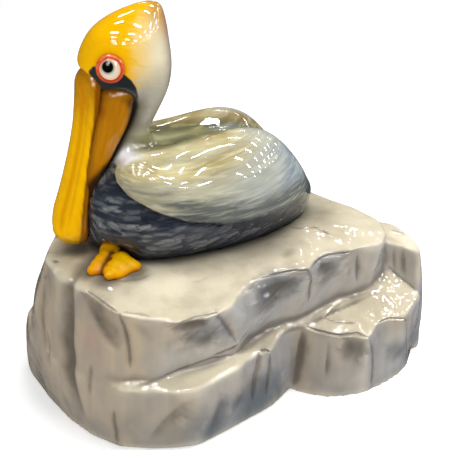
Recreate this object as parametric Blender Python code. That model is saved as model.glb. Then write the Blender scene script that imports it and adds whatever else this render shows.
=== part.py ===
"""A brown pelican resting on a stepped rock: a moulded play sculpture, painted and varnished.

The bird faces -Y and its left side is +X. Sections are set out from the point under the tip
of the bill, on the bird's own middle plane, with heights above the floor. The last step
moves everything so that the middle of the base's footprint is the origin.
"""

import math

import bmesh
import bpy
import numpy as np
from mathutils import Matrix, Vector

GAP = 0.0003  # clearance between neighbouring pieces
PERCH = 0.35  # height of the tip of the bill above the floor
RING_POINTS = 28

# Rows of the lofts. Each starts with the place along the loft's own axis.
# Trunk and tail: y, height of the widest line, half width, rise above it, drop below it.
TRUNK = [
    (0.030, 0.085, 0.010, 0.012, 0.014),
    (0.042, 0.085, 0.058, 0.055, 0.058),
    (0.070, 0.080, 0.093, 0.096, 0.094),
    (0.120, 0.070, 0.121, 0.126, 0.112),
    (0.200, 0.064, 0.143, 0.136, 0.112),
    (0.290, 0.060, 0.147, 0.138, 0.110),
    (0.380, 0.056, 0.136, 0.132, 0.106),
    (0.450, 0.050, 0.113, 0.108, 0.096),
    (0.505, 0.042, 0.083, 0.070, 0.080),
    (0.540, 0.036, 0.050, 0.038, 0.058),
    (0.556, 0.032, 0.010, 0.010, 0.014),
]
TAIL = [
    (0.400, 0.064, 0.050, 0.036, 0.040),
    (0.470, 0.056, 0.062, 0.040, 0.044),
    (0.525, 0.040, 0.056, 0.030, 0.034),
    (0.556, 0.031, 0.044, 0.020, 0.022),
    (0.568, 0.028, 0.018, 0.008, 0.010),
]
# Neck and head: height, y of the widest line, half width, reach forward, reach back.
NECK = [
    (0.060, 0.170, 0.050, 0.060, 0.060),
    (0.120, 0.160, 0.072, 0.085, 0.092),
    (0.170, 0.145, 0.058, 0.065, 0.066),
    (0.215, 0.140, 0.046, 0.050, 0.052),
    (0.255, 0.152, 0.046, 0.060, 0.054),
    (0.295, 0.155, 0.055, 0.080, 0.074),
    (0.335, 0.152, 0.067, 0.090, 0.090),
    (0.375, 0.150, 0.071, 0.092, 0.093),
    (0.410, 0.158, 0.067, 0.088, 0.081),
    (0.440, 0.174, 0.053, 0.080, 0.061),
    (0.460, 0.190, 0.036, 0.066, 0.042),
    (0.475, 0.203, 0.019, 0.036, 0.027),
    (0.482, 0.207, 0.006, 0.012, 0.012),
]
# Wing: y, x of the centre, height of the centre, half width, half height, lean inwards.
WING = [
    (0.092, 0.102, 0.184, 0.006, 0.006, 30),
    (0.104, 0.100, 0.179, 0.022, 0.024, 34),
    (0.140, 0.096, 0.163, 0.040, 0.051, 38),
    (0.200, 0.091, 0.138, 0.049, 0.073, 37),
    (0.280, 0.087, 0.127, 0.056, 0.090, 33),
    (0.360, 0.084, 0.124, 0.062, 0.099, 28),
    (0.425, 0.078, 0.115, 0.060, 0.094, 24),
    (0.475, 0.070, 0.093, 0.054, 0.069, 20),
    (0.508, 0.062, 0.072, 0.041, 0.039, 15),
    (0.526, 0.057, 0.062, 0.022, 0.019, 10),
    (0.532, 0.056, 0.060, 0.008, 0.008, 10),
]
# Upper bill: height, y of the mouth line, half width, thickness forward, thickness back.
UPPER_BILL = [
    (-0.001, 0.032, 0.014, 0.012, 0.012),
    (0.007, 0.030, 0.034, 0.025, 0.020),
    (0.030, 0.028, 0.049, 0.040, 0.022),
    (0.070, 0.030, 0.054, 0.041, 0.020),
    (0.120, 0.039, 0.051, 0.033, 0.018),
    (0.180, 0.052, 0.047, 0.027, 0.017),
    (0.250, 0.067, 0.045, 0.024, 0.016),
    (0.320, 0.077, 0.045, 0.024, 0.017),
    (0.352, 0.081, 0.040, 0.024, 0.018),
    (0.366, 0.083, 0.024, 0.017, 0.013),
]
# Pouch and lower bill: height, y of the middle, half width, thickness forward and back.
POUCH = [
    (0.050, 0.038, 0.040, 0.014, 0.008),
    (0.110, 0.042, 0.049, 0.018, 0.020),
    (0.160, 0.056, 0.053, 0.024, 0.034),
    (0.220, 0.080, 0.057, 0.032, 0.046),
    (0.275, 0.104, 0.061, 0.040, 0.052),
    (0.310, 0.115, 0.064, 0.038, 0.048),
    (0.330, 0.116, 0.060, 0.030, 0.038),
    (0.343, 0.114, 0.038, 0.014, 0.018),
]
CULMEN = {"ridge": 0.0035, "groove": 0.0045, "turn": math.radians(42)}

EYE = {"radius": 0.026, "depth": 0.011, "y": 0.102, "height": 0.378, "sink": 0.003}

# Toes of the left foot: x, y of the tip; they spread from the heel.
FOOT = {
    "heel": (0.062, 0.092, 0.004),
    "toes": [(0.098, 0.020, -0.012), (0.136, 0.046, -0.014), (0.134, 0.104, -0.014)],
    "heel_radius": 0.022,
    "tip_radius": 0.013,
    "web_radius": 0.006,
}

# Rock blocks: corners seen from above, anticlockwise. Rims carry the height at each corner.
SUMMIT_RIM = [
    (-0.150, 0.040, 0.332), (-0.048, -0.016, 0.334), (0.014, -0.046, 0.337),
    (0.095, -0.032, 0.334), (0.156, -0.003, 0.328), (0.200, 0.018, 0.320),
    (0.244, 0.038, 0.314), (0.272, 0.086, 0.310), (0.298, 0.132, 0.304),
    (0.308, 0.190, 0.303), (0.297, 0.252, 0.309), (0.298, 0.288, 0.312),
    (0.294, 0.324, 0.316), (0.276, 0.362, 0.320), (0.256, 0.405, 0.324),
    (0.252, 0.480, 0.326), (0.221, 0.559, 0.326), (0.223, 0.630, 0.322),
    (0.187, 0.664, 0.326), (0.132, 0.680, 0.330), (0.060, 0.656, 0.332),
    (-0.036, 0.606, 0.334), (-0.130, 0.580, 0.328), (-0.210, 0.520, 0.322),
    (-0.250, 0.410, 0.326), (-0.262, 0.280, 0.330), (-0.236, 0.130, 0.330),
]
SUMMIT_ROOT = [
    (-0.188, 0.006), (-0.086, -0.064), (0.006, -0.084), (0.102, -0.062),
    (0.168, -0.026), (0.208, 0.002), (0.238, 0.040), (0.252, 0.088),
    (0.248, 0.138), (0.241, 0.198), (0.243, 0.250), (0.234, 0.284),
    (0.204, 0.316), (0.190, 0.358), (0.181, 0.405), (0.178, 0.478),
    (0.174, 0.555), (0.172, 0.622), (0.156, 0.672), (0.108, 0.680),
    (0.040, 0.662), (-0.044, 0.620), (-0.130, 0.596), (-0.215, 0.530),
    (-0.262, 0.415), (-0.276, 0.280), (-0.256, 0.120),
]
BASE_RIM = [
    (-0.196, 0.002, 0.158), (-0.088, -0.068, 0.158), (0.006, -0.088, 0.156),
    (0.106, -0.066, 0.156), (0.174, -0.030, 0.155), (0.216, 0.002, 0.154),
    (0.256, 0.038, 0.150), (0.280, 0.096, 0.146), (0.298, 0.136, 0.145),
    (0.305, 0.174, 0.146), (0.287, 0.235, 0.149), (0.273, 0.273, 0.150),
    (0.253, 0.306, 0.150), (0.248, 0.335, 0.150), (0.243, 0.358, 0.150),
    (0.222, 0.383, 0.153), (0.206, 0.412, 0.156), (0.202, 0.448, 0.158),
    (0.150, 0.560, 0.160), (0.100, 0.640, 0.160), (0.030, 0.655, 0.158),
    (-0.040, 0.636, 0.158), (-0.130, 0.614, 0.156), (-0.226, 0.544, 0.152),
    (-0.280, 0.420, 0.150), (-0.296, 0.280, 0.152), (-0.272, 0.116, 0.156),
]
BASE_FOOT = [
    (-0.224, -0.004), (-0.140, -0.068), (-0.062, -0.082), (0.030, -0.070),
    (0.122, -0.050), (0.190, -0.022), (0.246, 0.018), (0.280, 0.078),
    (0.298, 0.126), (0.307, 0.166), (0.294, 0.226), (0.282, 0.268),
    (0.272, 0.304), (0.264, 0.334), (0.254, 0.362), (0.236, 0.394),
    (0.217, 0.424), (0.208, 0.454), (0.150, 0.560), (0.100, 0.660),
    (0.030, 0.690), (-0.050, 0.680), (-0.150, 0.650), (-0.246, 0.572),
    (-0.300, 0.436), (-0.314, 0.284), (-0.296, 0.110),
]
SIDE_RIM = [
    (0.206, 0.443, 0.156), (0.230, 0.470, 0.150), (0.255, 0.495, 0.148),
    (0.272, 0.530, 0.149), (0.292, 0.566, 0.143), (0.260, 0.607, 0.148),
    (0.258, 0.639, 0.148), (0.267, 0.672, 0.147), (0.240, 0.709, 0.156),
    (0.223, 0.741, 0.168), (0.120, 0.732, 0.222), (0.030, 0.716, 0.222),
    (0.000, 0.700, 0.222), (0.060, 0.560, 0.200), (0.140, 0.450, 0.175),
]
SIDE_FOOT = [
    (0.222, 0.428), (0.250, 0.454), (0.272, 0.482), (0.285, 0.520),
    (0.291, 0.558), (0.287, 0.594), (0.280, 0.626), (0.266, 0.668),
    (0.246, 0.704), (0.208, 0.739), (0.120, 0.766), (0.030, 0.770),
    (-0.020, 0.720), (0.050, 0.560), (0.140, 0.440),
]
# The side step's top climbs to this line, under the wall of the summit.
SIDE_TOP = [
    (0.184, 0.452, 0.172), (0.186, 0.475, 0.175), (0.188, 0.500, 0.178),
    (0.184, 0.540, 0.184), (0.182, 0.565, 0.189), (0.182, 0.595, 0.196),
    (0.184, 0.620, 0.203), (0.176, 0.652, 0.212), (0.170, 0.672, 0.218),
    (0.162, 0.684, 0.222), (0.110, 0.712, 0.224), (0.040, 0.700, 0.224),
    (0.020, 0.690, 0.224), (0.070, 0.580, 0.202), (0.140, 0.470, 0.178),
]
REAR_RIM = [
    (0.162, 0.672, 0.288), (0.176, 0.695, 0.285), (0.190, 0.718, 0.281),
    (0.213, 0.734, 0.272), (0.196, 0.746, 0.276), (0.150, 0.748, 0.284),
    (0.100, 0.738, 0.287), (0.020, 0.720, 0.270), (-0.076, 0.706, 0.258),
    (-0.136, 0.670, 0.252), (-0.130, 0.590, 0.252), (0.060, 0.560, 0.270),
    (0.150, 0.600, 0.285),
]
REAR_FOOT = [
    (0.156, 0.674), (0.172, 0.696), (0.190, 0.717), (0.202, 0.731),
    (0.196, 0.770), (0.150, 0.804), (0.100, 0.820), (0.016, 0.836),
    (-0.090, 0.800), (-0.160, 0.700), (-0.150, 0.590), (0.060, 0.560),
    (0.150, 0.590),
]
ROCK_EDGE = {"width": 0.009, "segments": 2, "sharper_than": math.radians(24)}

def clear_scene():
    for obj in list(bpy.data.objects):
        bpy.data.objects.remove(obj)


def make_material(name, colour, roughness):
    material = bpy.data.materials.new(name)
    material.use_nodes = True
    shader = material.node_tree.nodes["Principled BSDF"]
    shader.inputs["Base Color"].default_value = (*colour, 1.0)
    shader.inputs["Roughness"].default_value = roughness
    shader.inputs["Metallic"].default_value = 0.0
    return material


def rows_through(stations, count):
    """Rows on a smooth curve through the stations, closer together at both ends."""
    table = np.array(stations, float)
    place = table[:, 0]
    slopes = np.gradient(table, place, axis=0)
    share = (1 - np.cos(np.linspace(0, math.pi, count))) / 2
    rows = []
    for at in place[0] + (place[-1] - place[0]) * share:
        i = int(np.clip(np.searchsorted(place, at) - 1, 0, len(place) - 2))
        step = place[i + 1] - place[i]
        t = (at - place[i]) / step
        rows.append(
            (2 * t**3 - 3 * t**2 + 1) * table[i]
            + (t**3 - 2 * t**2 + t) * step * slopes[i]
            + (3 * t**2 - 2 * t**3) * table[i + 1]
            + (t**3 - t**2) * step * slopes[i + 1]
        )
    return rows


def rounded(turn, power):
    """Cosine and sine of a superellipse: power 2 is a true ellipse, more is squarer."""
    c, s = math.cos(turn), math.sin(turn)
    return (
        math.copysign(abs(c) ** (2 / power), c),
        math.copysign(abs(s) ** (2 / power), s),
    )


def turns(points=RING_POINTS):
    return [2 * math.pi * k / points for k in range(points)]


def object_of(name, bm, material=None):
    bmesh.ops.recalc_face_normals(bm, faces=bm.faces)
    mesh = bpy.data.meshes.new(name)
    bm.to_mesh(mesh)
    bm.free()
    if material:
        mesh.materials.append(material)
    obj = bpy.data.objects.new(name, mesh)
    bpy.context.scene.collection.objects.link(obj)
    return obj


def loft(name, rings, material=None):
    """One closed body through rings of points, with flat ends."""
    bm = bmesh.new()
    loops = [[bm.verts.new(point) for point in ring] for ring in rings]
    for low, high in zip(loops, loops[1:]):
        for k in range(len(low)):
            after = (k + 1) % len(low)
            bm.faces.new((low[k], low[after], high[after], high[k]))
    bm.faces.new(loops[0])
    bm.faces.new(loops[-1])
    return object_of(name, bm, material)


def upright_ring(row, power):
    """A ring across the body, in a plane of constant y."""
    y, height, half_width, rise, drop = row
    ring = []
    for turn in turns():
        across, along = rounded(turn, power)
        ring.append((half_width * across, y, PERCH + height + (rise if along > 0 else drop) * along))
    return ring


def level_ring(row, power):
    """A ring round the neck, head or bill, in a plane of constant height."""
    height, y, half_width, forward, back = row
    ring = []
    for turn in turns():
        across, along = rounded(turn, power)
        ring.append((half_width * across, y + (back if along > 0 else forward) * along, PERCH + height))
    return ring


def wing_ring(row, side):
    y, x, height, half_width, half_height, degrees = row
    lean = math.radians(degrees)
    ring = []
    for turn in turns():
        across, up = rounded(turn, 2.2)
        dx, dz = half_width * across, half_height * up
        leaned = dx * math.cos(lean) - dz * math.sin(lean)
        raised = dx * math.sin(lean) + dz * math.cos(lean)
        ring.append((side * max(x + leaned, GAP), y, PERCH + height + raised))
    return ring


def bill_ring(row):
    """A level ring with the culmen's ridge in front and a groove on each side of it."""
    height, y, half_width, forward, back = row
    fullness = min(1.0, half_width / 0.045) ** 2
    ring = []
    for turn in turns():
        across, along = rounded(turn, 2.4)
        from_front = math.acos(max(-1.0, min(1.0, -math.sin(turn))))
        ridge = CULMEN["ridge"] * math.exp(-((from_front / 0.35) ** 2))
        groove = CULMEN["groove"] * math.exp(-(((from_front - CULMEN["turn"]) / 0.22) ** 2))
        out = 1 + fullness * (ridge - groove) / forward
        reach = back if along > 0 else forward
        ring.append((half_width * across * out, y + reach * along * out, PERCH + height))
    return ring


def settle(obj):
    """Replaces the object's mesh by what its modifiers make of it."""
    graph = bpy.context.evaluated_depsgraph_get()
    made = bpy.data.meshes.new_from_object(obj.evaluated_get(graph), depsgraph=graph)
    obj.modifiers.clear()
    obj.data = made
    return obj


def soften(obj, voxel, passes, triangles):
    """Melts what overlaps into one skin, rounds it, and thins it to about that many triangles."""
    remesh = obj.modifiers.new("melt", "REMESH")
    remesh.mode = "VOXEL"
    remesh.voxel_size = voxel
    smooth = obj.modifiers.new("round", "SMOOTH")
    smooth.factor = 0.5
    smooth.iterations = passes
    settle(obj)
    thin = obj.modifiers.new("thin", "DECIMATE")
    thin.ratio = min(1.0, triangles / (2 * len(obj.data.polygons)))
    thin.use_collapse_triangulate = True
    settle(obj)
    obj.data.shade_smooth()
    return obj


def join(name, objects, material=None):
    """The shapes of several objects in one, which soften then melts together."""
    bm = bmesh.new()
    for obj in objects:
        bm.from_mesh(obj.data)
        bpy.data.objects.remove(obj)
    return object_of(name, bm, material)


def carve(obj, cutters):
    """Takes each cutter, grown by the gap, out of the object."""
    for cutter in cutters:
        grown = cutter.copy()
        grown.data = cutter.data.copy()
        grown.name = f"cut_{obj.name}_{cutter.name}"
        grown.hide_render = True
        grown.display_type = "WIRE"
        bpy.context.scene.collection.objects.link(grown)
        swell = grown.modifiers.new("gap", "DISPLACE")
        swell.strength = GAP
        swell.mid_level = 0.0
        cut = obj.modifiers.new(cutter.name, "BOOLEAN")
        cut.operation = "DIFFERENCE"
        cut.solver = "EXACT"
        cut.object = grown
        settle(obj)
        bpy.data.objects.remove(grown)
    return obj


def slice_out(whole, name, cuts, material):
    """A copy of the whole kept on the inner side of each cut (point, outward normal)."""
    bm = bmesh.new()
    bm.from_mesh(whole.data)
    for point, outward in cuts:
        outward = Vector(outward).normalized()
        found = bmesh.ops.bisect_plane(
            bm,
            geom=bm.verts[:] + bm.edges[:] + bm.faces[:],
            plane_co=Vector(point) - outward * GAP / 2,
            plane_no=outward,
            clear_outer=True,
        )
        rim = [g for g in found["geom_cut"] if isinstance(g, bmesh.types.BMEdge)]
        bmesh.ops.triangle_fill(bm, edges=rim, use_beauty=True)
    return object_of(name, bm, material)


def capsule(start, end, start_radius, end_radius):
    """A round-ended rod that tapers from one ball to another."""
    bm = bmesh.new()
    for centre, radius in ((start, start_radius), (end, end_radius)):
        bmesh.ops.create_icosphere(
            bm, subdivisions=2, radius=radius, matrix=Matrix.Translation(centre)
        )
    hull = bmesh.ops.convex_hull(bm, input=bm.verts)
    bmesh.ops.delete(bm, geom=hull["geom_interior"] + hull["geom_unused"], context="VERTS")
    return object_of("rod", bm)


def build_body():
    """Trunk, tail, neck and head melted into one skin; the nodes are slices of it."""
    trunk = loft("trunk_form", [upright_ring(row, 2.3) for row in rows_through(TRUNK, 30)])
    tail = loft("tail_form", [upright_ring(row, 2.6) for row in rows_through(TAIL, 12)])
    neck = loft("neck_form", [level_ring(row, 2.15) for row in rows_through(NECK, 34)])
    return soften(join("body_form", [trunk, tail, neck]), 0.006, 8, 2000)


def part_body(body, plumage):
    """The body's nodes, parted by thin flat cuts at the throat, shoulders and rump."""
    nape = ((0, 0.19, PERCH + 0.318), (0, -0.36, 1))
    shoulders = ((0, 0.15, PERCH + 0.210), (0, 0, 1))
    rump = ((0, 0.505, PERCH), (0, 1, 0.12))

    def turned(cut):
        return cut[0], tuple(-n for n in cut[1])

    return {
        "head": slice_out(body, "head", [turned(nape)], plumage),
        "neck": slice_out(body, "neck", [nape, turned(shoulders)], plumage),
        "trunk": slice_out(body, "trunk", [shoulders, rump], plumage),
        "tail": slice_out(body, "tail", [turned(rump)], plumage),
    }


def build_wing(name, side, plumage):
    rings = [wing_ring(row, side) for row in rows_through(WING, 26)]
    wing = soften(loft(name, rings, plumage), 0.005, 5, 520)
    for vertex in wing.data.vertices:
        vertex.co.x = side * max(side * vertex.co.x, GAP)
    return wing


def build_bill(horn):
    rows = rows_through(UPPER_BILL, 26)
    upper = loft("bill_upper", [bill_ring(row) for row in rows], horn)
    rows = rows_through(POUCH, 20)
    pouch = loft("pouch", [level_ring(row, 2.6) for row in rows], horn)
    return soften(upper, 0.004, 3, 620), soften(pouch, 0.005, 4, 360)


def build_eye(name, side, head, enamel):
    """A low dome on the cheek, square to the skin where it sits."""
    start = Vector((side * 0.3, EYE["y"], PERCH + EYE["height"]))
    _, place, normal, _ = head.ray_cast(start, Vector((-side, 0, 0)))
    bm = bmesh.new()
    bmesh.ops.create_uvsphere(bm, u_segments=18, v_segments=6, radius=EYE["radius"])
    flat = Matrix.Diagonal((1, 1, EYE["depth"] / EYE["radius"], 1))
    facing = normal.to_track_quat("Z", "Y").to_matrix().to_4x4()
    seat = Matrix.Translation(place - normal * EYE["sink"])
    bmesh.ops.transform(bm, matrix=seat @ facing @ flat, verts=bm.verts)
    eye = object_of(name, bm, enamel)
    eye.data.shade_smooth()
    return eye


def build_foot(name, side, leather):
    """Three toes spread from a heel, with webs between them."""
    lift = Vector((0, 0, PERCH))
    heel = Vector(FOOT["heel"]) + lift
    toes = [Vector(toe) + lift for toe in FOOT["toes"]]
    rods = [capsule(heel, toe, FOOT["heel_radius"], FOOT["tip_radius"]) for toe in toes]
    for first, second in zip(toes, toes[1:]):
        corners = [heel.lerp(first, 0.8), heel.lerp(second, 0.8), heel]
        bm = bmesh.new()
        for corner in corners:
            bmesh.ops.create_icosphere(
                bm,
                subdivisions=1,
                radius=FOOT["web_radius"],
                matrix=Matrix.Translation(corner),
            )
        hull = bmesh.ops.convex_hull(bm, input=bm.verts)
        bmesh.ops.delete(bm, geom=hull["geom_interior"] + hull["geom_unused"], context="VERTS")
        rods.append(object_of("web", bm))
    foot = join(name, rods, leather)
    if side < 0:
        bm = bmesh.new()
        bm.from_mesh(foot.data)
        bmesh.ops.transform(bm, matrix=Matrix.Diagonal((-1, 1, 1, 1)), verts=bm.verts)
        bmesh.ops.reverse_faces(bm, faces=bm.faces)
        bm.to_mesh(foot.data)
        bm.free()
    return soften(foot, 0.0035, 3, 260)


def block(name, rim, foot, floor, bulge, crown, stone, top=None):
    """A rock block on a foot outline at one height, with a crowned top inside its rim.

    bulge pushes the middle of the walls out (or in, below zero); crown lifts the top,
    unless a ring for the top is given.
    """
    centre = sum((Vector(corner) for corner in rim), Vector()) / len(rim)
    rings = []
    for share in (0.0, 0.3, 0.68, 1.0):
        ring = []
        for corner, base in zip(rim, foot):
            low = Vector((*base, floor))
            out = (low - centre).to_2d().normalized() * bulge * math.sin(math.pi * share)
            ring.append(low.lerp(Vector(corner), share) + out.to_3d())
        rings.append(ring)
    if top is None:
        top = [
            Vector(corner).lerp(Vector((centre.x, centre.y, corner[2])), 0.4)
            + Vector((0, 0, crown))
            for corner in rim
        ]
    rock = loft(name, rings + [[Vector(corner) for corner in top]], stone)
    edge = rock.modifiers.new("edge", "BEVEL")
    edge.width = ROCK_EDGE["width"]
    edge.segments = ROCK_EDGE["segments"]
    edge.limit_method = "ANGLE"
    edge.angle_limit = ROCK_EDGE["sharper_than"]
    rock.modifiers.new("facets", "TRIANGULATE")
    return settle(rock)


def build_rock(stone):
    base = block("rock_base", BASE_RIM, BASE_FOOT, 0.0, 0.008, 0.010, stone)
    summit = block("rock_summit", SUMMIT_RIM, SUMMIT_ROOT, 0.140, -0.002, 0.006, stone)
    side = block("rock_side_step", SIDE_RIM, SIDE_FOOT, 0.0, 0.004, 0.0, stone, SIDE_TOP)
    rear = block("rock_rear_step", REAR_RIM, REAR_FOOT, 0.0, 0.008, 0.003, stone)
    carve(base, [summit, side, rear])
    carve(summit, [rear, side])
    carve(side, [rear])
    return [base, summit, side, rear]


def centre_on_floor(objects):
    """Moves everything so that the middle of the footprint's box is the origin."""
    corners = np.array([tuple(v.co) for obj in objects for v in obj.data.vertices])
    low, high = corners.min(0), corners.max(0)
    shift = Matrix.Translation((-(low[0] + high[0]) / 2, -(low[1] + high[1]) / 2, -low[2]))
    for obj in objects:
        obj.data.transform(shift)
        obj.data.update()


def main():
    clear_scene()
    plumage = make_material("painted_plumage", (0.55, 0.54, 0.46), 0.2)
    horn = make_material("painted_bill", (0.85, 0.50, 0.02), 0.2)
    leather = make_material("painted_feet", (0.90, 0.45, 0.02), 0.2)
    enamel = make_material("painted_eye", (0.90, 0.70, 0.50), 0.1)
    stone = make_material("painted_rock", (0.50, 0.44, 0.34), 0.25)

    body = build_body()
    eyes = [build_eye("eye_left", 1, body, enamel), build_eye("eye_right", -1, body, enamel)]
    nodes = part_body(body, plumage)
    wings = [build_wing("wing_left", 1, plumage), build_wing("wing_right", -1, plumage)]
    upper, pouch = build_bill(horn)
    feet = [build_foot("foot_left", 1, leather), build_foot("foot_right", -1, leather)]

    carve(nodes["head"], eyes + [upper, pouch])
    carve(nodes["neck"], [upper, pouch] + wings)
    carve(nodes["trunk"], [upper, pouch] + wings + feet)
    carve(nodes["tail"], wings)
    carve(pouch, [upper])

    rock = build_rock(stone)
    carve(rock[1], [body, upper] + feet)
    bpy.data.objects.remove(body)

    centre_on_floor(list(nodes.values()) + wings + eyes + [upper, pouch] + feet + rock)


main()
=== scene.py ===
import math

import bmesh
import bpy
import numpy as np
from mathutils import Matrix, Vector, noise
from mathutils.bvhtree import BVHTree
from mathutils.kdtree import KDTree


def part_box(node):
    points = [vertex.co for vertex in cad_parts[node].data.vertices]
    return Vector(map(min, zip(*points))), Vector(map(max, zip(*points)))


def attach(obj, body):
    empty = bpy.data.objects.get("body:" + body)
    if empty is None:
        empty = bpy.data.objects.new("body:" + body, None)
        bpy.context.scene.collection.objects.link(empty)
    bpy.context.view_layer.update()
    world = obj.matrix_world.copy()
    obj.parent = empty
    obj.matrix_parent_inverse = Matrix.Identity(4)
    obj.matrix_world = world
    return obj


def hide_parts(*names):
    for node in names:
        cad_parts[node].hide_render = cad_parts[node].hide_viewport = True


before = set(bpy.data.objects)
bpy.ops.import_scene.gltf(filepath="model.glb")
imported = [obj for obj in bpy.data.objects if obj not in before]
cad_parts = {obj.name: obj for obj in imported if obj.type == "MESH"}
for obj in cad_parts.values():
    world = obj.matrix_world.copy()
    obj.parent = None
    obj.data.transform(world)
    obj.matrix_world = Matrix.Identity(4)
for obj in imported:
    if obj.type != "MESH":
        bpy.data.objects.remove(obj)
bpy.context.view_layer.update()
print("frame loaded:", len(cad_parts), "nodes")

# The bird's own zero: on its middle plane, on the rock under the tip of the bill.
zero = {"behind": 0.0175, "above": 0.001}  # from the front and the foot of the bill's box
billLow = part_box("bill_upper")[0]
trunkLow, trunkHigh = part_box("trunk")
tip = np.array(((trunkLow[0] + trunkHigh[0]) / 2, billLow[1] + zero["behind"], billLow[2] + zero["above"]))


# Small tools.


def ramp(value, low, high):  # 0 below low, 1 above high, eased between
    share = np.clip((np.asarray(value, float) - low) / (high - low), 0, 1)
    return share * share * (3 - 2 * share)


def fade(value, low, high):  # 1 below low, 0 above high
    return 1 - ramp(value, low, high)


def hump(value, centre, width):  # 1 at the centre, fading to 0 each side
    return np.exp(-(((np.asarray(value, float) - centre) / width) ** 2))


def readAll(items, what, width, kind=float):
    values = np.empty(len(items) * width, kind)
    items.foreach_get(what, values)
    return values.reshape(-1, width)


def pointsOf(mesh):
    return readAll(mesh.vertices, "co", 3)


def normalsOf(mesh):
    return readAll(mesh.vertices, "normal", 3)


def edgesOf(mesh):
    return readAll(mesh.edges, "vertices", 2, np.int64)


def movePoints(mesh, points):
    mesh.vertices.foreach_set("co", points.ravel())
    mesh.update()


def push(mesh, points, height):  # moves the points out along the mesh's normals
    points = points + normalsOf(mesh) * height[:, None]
    movePoints(mesh, points)
    return points


def relax(values, edges, share, rounds):  # each point drifts towards its neighbours' middle
    values = np.array(values, float)
    flat = values.reshape(len(values), -1)
    both = np.concatenate([edges[:, 0], edges[:, 1]])
    other = np.concatenate([edges[:, 1], edges[:, 0]])
    count = np.bincount(both, minlength=len(flat))
    for _ in range(rounds):
        for k in range(flat.shape[1]):
            total = np.bincount(both, flat[other, k], minlength=len(flat))
            flat[:, k] += (total / count - flat[:, k]) * share
    return flat.reshape(values.shape)


def keep(mesh, **values):  # named values at each point, for the paint to read
    for name, value in values.items():
        made = mesh.attributes.new(name, "FLOAT", "POINT")
        made.data.foreach_set("value", np.asarray(value, np.float32))


def mottle(points, scale, seed=0.0):  # smooth random value between -1 and 1
    shift = Vector((seed, seed * 1.7, seed * 0.6))
    return np.array([noise.noise(Vector(point / scale) + shift) for point in points])


def objectOf(name, bm):
    mesh = bpy.data.meshes.new(name)
    bm.to_mesh(mesh)
    bm.free()
    piece = bpy.data.objects.new(name, mesh)
    bpy.context.scene.collection.objects.link(piece)
    return piece


def nodeForm(names, swell):  # merged copies of CAD nodes, a hair thicker so that they meet
    whole = bmesh.new()
    for name in names:
        part = bmesh.new()
        part.from_mesh(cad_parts[name].data)
        bmesh.ops.remove_doubles(part, verts=part.verts, dist=0.00002)
        part.normal_update()
        for vert in part.verts:
            vert.co += vert.normal * swell
        made = bpy.data.meshes.new(name + "Copy")
        part.to_mesh(made)
        part.free()
        whole.from_mesh(made)
        bpy.data.meshes.remove(made)
    return whole


def treeOf(names):
    form = nodeForm(names, 0.0)
    tree = BVHTree.FromBMesh(form)
    form.free()
    return tree


def awayFrom(tree, points, most=0.08):  # how far each point is from that surface
    found = (tree.find_nearest(Vector(point), most)[3] for point in points)
    return np.array([most if far is None else far for far in found])


def toNodes(points, *names, most=0.08):  # how far each point is from those CAD nodes
    return awayFrom(treeOf(names), points, most)


def settle(piece):  # the mesh as the modifiers leave it
    graph = bpy.context.evaluated_depsgraph_get()
    made = bpy.data.meshes.new_from_object(piece.evaluated_get(graph), depsgraph=graph)
    piece.modifiers.clear()
    piece.data = made
    return piece


def melt(piece, voxel):  # one even skin over everything that overlaps
    remesh = piece.modifiers.new("melt", "REMESH")
    remesh.mode = "VOXEL"
    remesh.voxel_size = voxel
    settle(piece)
    piece.data.shade_smooth()
    return piece


def skinOver(name, settings):  # the melted form of the CAD nodes that it replaces
    return melt(objectOf(name, nodeForm(settings["nodes"], settings["swell"])), settings["voxel"])


def refine(piece, wanted):  # halves the mesh where wanted says so
    chosen = wanted(pointsOf(piece.data))
    bm = bmesh.new()
    bm.from_mesh(piece.data)
    bm.verts.ensure_lookup_table()
    edges = [edge for edge in bm.edges if chosen[edge.verts[0].index] and chosen[edge.verts[1].index]]
    bmesh.ops.subdivide_edges(bm, edges=edges, cuts=1, use_grid_fill=True)
    bm.to_mesh(piece.data)
    bm.free()
    piece.data.shade_smooth()


def finishPiece(piece, material, slot, *nodes):
    piece.data.materials.clear()
    piece.data.materials.append(material)
    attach(piece, "root")
    if nodes:
        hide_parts(*nodes)
    return piece


def linear(code):  # sRGB hex to the linear colour that a shader takes
    parts = [int(code[k : k + 2], 16) / 255 for k in (1, 3, 5)]
    return tuple(c / 12.92 if c <= 0.04045 else ((c + 0.055) / 1.055) ** 2.4 for c in parts) + (1.0,)


def addNode(tree, kind, inputs=None, **settings):  # one shader node, with what feeds it
    made = tree.nodes.new("ShaderNode" + kind)
    for name, value in settings.items():
        setattr(made, name, value)
    for name, value in (inputs or {}).items():
        if isinstance(value, bpy.types.NodeSocket):
            tree.links.new(value, made.inputs[name])
        else:
            made.inputs[name].default_value = value
    return made


# Airbrushed paint under clear coat.


def attribute(tree, name):  # one node for each name, however often it is read
    found = tree.nodes.get(name) or addNode(tree, "Attribute", attribute_name=name, name=name)
    return found.outputs["Fac"]


def times(tree, *values):  # the product of attribute names, node outputs and numbers
    values = [attribute(tree, value) if isinstance(value, str) else value for value in values]
    product = values[0]
    for value in values[1:]:
        product = addNode(tree, "Math", {0: product, 1: value}, operation="MULTIPLY").outputs[0]
    return product


def scaled(tree, value, by, plus=0.0):  # value times by, plus the last
    return addNode(tree, "Math", {0: value, 1: by, 2: plus}, operation="MULTIPLY_ADD").outputs[0]


def eased(tree, value, low, high):  # 0 at low and 1 at high, eased between
    return addNode(
        tree, "MapRange", {0: value, 1: low, 2: high}, interpolation_type="SMOOTHSTEP"
    ).outputs[0]


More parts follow.
